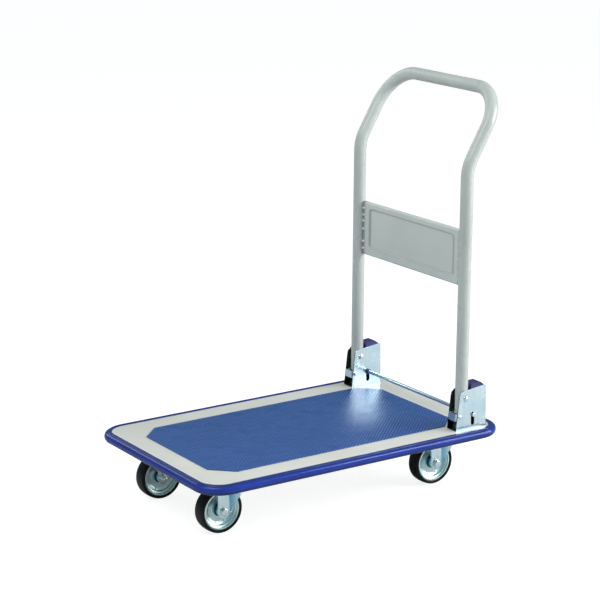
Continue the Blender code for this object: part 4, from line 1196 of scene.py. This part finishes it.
def make_spots(name, centre, out):
    """Low spot-weld domes on a circle round the web, all in one mesh: radius by the cosine and height by the
    sine of one angle, sunk a little at the foot."""
    turn = np.linspace(0, math.pi / 2, 5)
    round_dome = np.arange(SPOT_SIDES) * math.tau / SPOT_SIDES
    radius = 2.3 * MM * np.concatenate([[0.0, 1.0], np.cos(turn)[1:]])
    height = np.concatenate([[-1.0 * MM, -1.0 * MM], 1.3 * MM * np.sin(turn)[1:]]) + WEB_HALF + 0.9 * MM
    places = (np.arange(SPOTS) + 0.5) * math.tau / SPOTS
    a = SPOT_CIRCLE * np.cos(places)[:, None, None] + radius[:, None] * np.cos(round_dome)
    b = SPOT_CIRCLE * np.sin(places)[:, None, None] + radius[:, None] * np.sin(round_dome)
    t = np.broadcast_to(height[:, None] * out, a.shape)
    points = np.stack([a, t, b], axis=-1) + centre
    one = np.array(grid_faces(len(radius), SPOT_SIDES, wrap_columns=True))
    faces = one + np.arange(SPOTS)[:, None, None] * len(radius) * SPOT_SIDES
    return build(name, points, faces.reshape(-1, 4).tolist(), 40)


def make_tyre(name, centre):
    """Half of the section, from its seat on the rim over the side wall, a shallow moulded ring and a rounded
    shoulder to the crown, mirrored and turned about the axle."""
    seat = BAND + 0.3 * MM
    corners = [
        (seat, RIM_HALF), (seat + 0.9 * MM, TYRE_HALF), (seat + 2.6 * MM, TYRE_HALF),
        (seat + 2.9 * MM, TYRE_HALF - 0.5 * MM), (seat + 3.6 * MM, TYRE_HALF - 0.5 * MM),
        (seat + 3.9 * MM, TYRE_HALF - 0.1 * MM), (WHEEL_RADIUS - 1.0 * MM, TYRE_HALF - 1.3 * MM),
        (WHEEL_RADIUS, TYRE_HALF - 10 * MM), (WHEEL_RADIUS, 0),
    ]
    radii = [0, 0.7 * MM, 0.3 * MM, 0.2 * MM, 0.2 * MM, 0.3 * MM, 2.6 * MM, 12 * MM, 0]
    half = rounded(corners, radii, 8, closed=False)
    profile = np.concatenate([half * (1, -1), half[-2::-1]])
    return turned(name, profile, "Y", centre, 112, 45)


def make_axle_bolt(name, centre, out):
    """A hexagon head on its washer, on the fork's outboard side."""
    face = centre + np.array([0, AXLE_GRIP * out, 0])
    return make_hex_head(name, face, AXLE_HEXAGON, 6.0 * MM - CROWN, "Y", AXLE_WASHER, 1.5 * MM, out)


def make_axle_tip(name, centre, out):
    """The bolt's end beyond the nut: a round bar whose thread is a ripple of its radius along its length."""
    pitch = 1.5 * MM
    along = np.linspace(AXLE_GRIP - pitch, AXLE_GRIP + 8.2 * MM, 60)
    radius = 4.75 * MM + 0.22 * MM * np.cos(along * math.tau / pitch)
    thread = np.stack([radius, along], axis=-1)
    ends = np.array([(4.0 * MM, AXLE_GRIP + 9.0 * MM), (0, AXLE_GRIP + 9.0 * MM)])
    profile = np.concatenate([[(0, AXLE_GRIP - pitch)], thread, ends]) * (1, -out)
    return turned(name, profile, "Y", centre, 32, 60)


def make_nut(name, centre, out):
    """A hexagon nut inboard, with its cone-cut corners facing away from the fork."""
    face = centre - np.array([0, AXLE_GRIP * out, 0])
    return make_hex_head(name, face, AXLE_HEXAGON, 6.4 * MM, "Y", AXLE_WASHER, 1.2 * MM, -out)


def tyre_look():
    """Black rubber: a brown-grey bloom in patches, a fine moulded skin and dust held in its pores."""
    look, tree, noise = new_look("rubber_tyre")
    bloom = spread(tree, noise(48, 5, roughness=0.6), 0.0, 0.8, 0.42, 0.72)
    dust = spread(tree, noise(420, 3, roughness=0.7), 0.0, 0.5, 0.60, 0.72)
    tint = blended(tree, dust, blended(tree, bloom, RUBBER_BLACK, RUBBER_BLOOM), RUBBER_DUST)
    shader = finished(tree, tint, spread(tree, noise(60, 4), 0.30, 0.46), noise(1300, 3), 0.20, 0.4 * MM)
    shader.inputs["Specular IOR Level"].default_value = 0.22
    return look


zinc_disc = zinc_plate("zinc_disc", (1, 0.4, 1), 0.36, (0.66, 0.92, 0.94), (0.84, 0.98, 0.95))
tyre_rubber = tyre_look()
for prefix, carrier, wheel in CASTERS:
    axle = wheel_centre(prefix)
    out = -1 if prefix.startswith("right") else 1
    pieces = [
        (make_rim(prefix + "_wheel_disc", axle), wheel, "_rim", zinc_disc, "zinc"),
        (make_spots(prefix + "_spot_welds_outer", axle, 1), wheel, None, zinc_disc, "zinc"),
        (make_spots(prefix + "_spot_welds_inner", axle, -1), wheel, None, zinc_disc, "zinc"),
        (make_tyre(prefix + "_wheel_tyre", axle), wheel, "_tyre", tyre_rubber, "tyre_rubber"),
        (make_axle_bolt(prefix + "_axle_head", axle, out), carrier, "_axle_bolt", zinc_fixing, "zinc"),
        (make_axle_tip(prefix + "_axle_tip", axle, out), carrier, None, zinc_fixing, "zinc"),
        (make_nut(prefix + "_axle_lock_nut", axle, out), carrier, "_axle_nut", zinc_fixing, "zinc"),
    ]
    for piece, body, stands_for, finish, slot in pieces:
        piece.data.materials.append(finish)
        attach(piece, body)
        if stands_for:
            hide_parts(prefix + stands_for)
    coat_node(prefix + "_axle_sleeve", zinc_fixing)
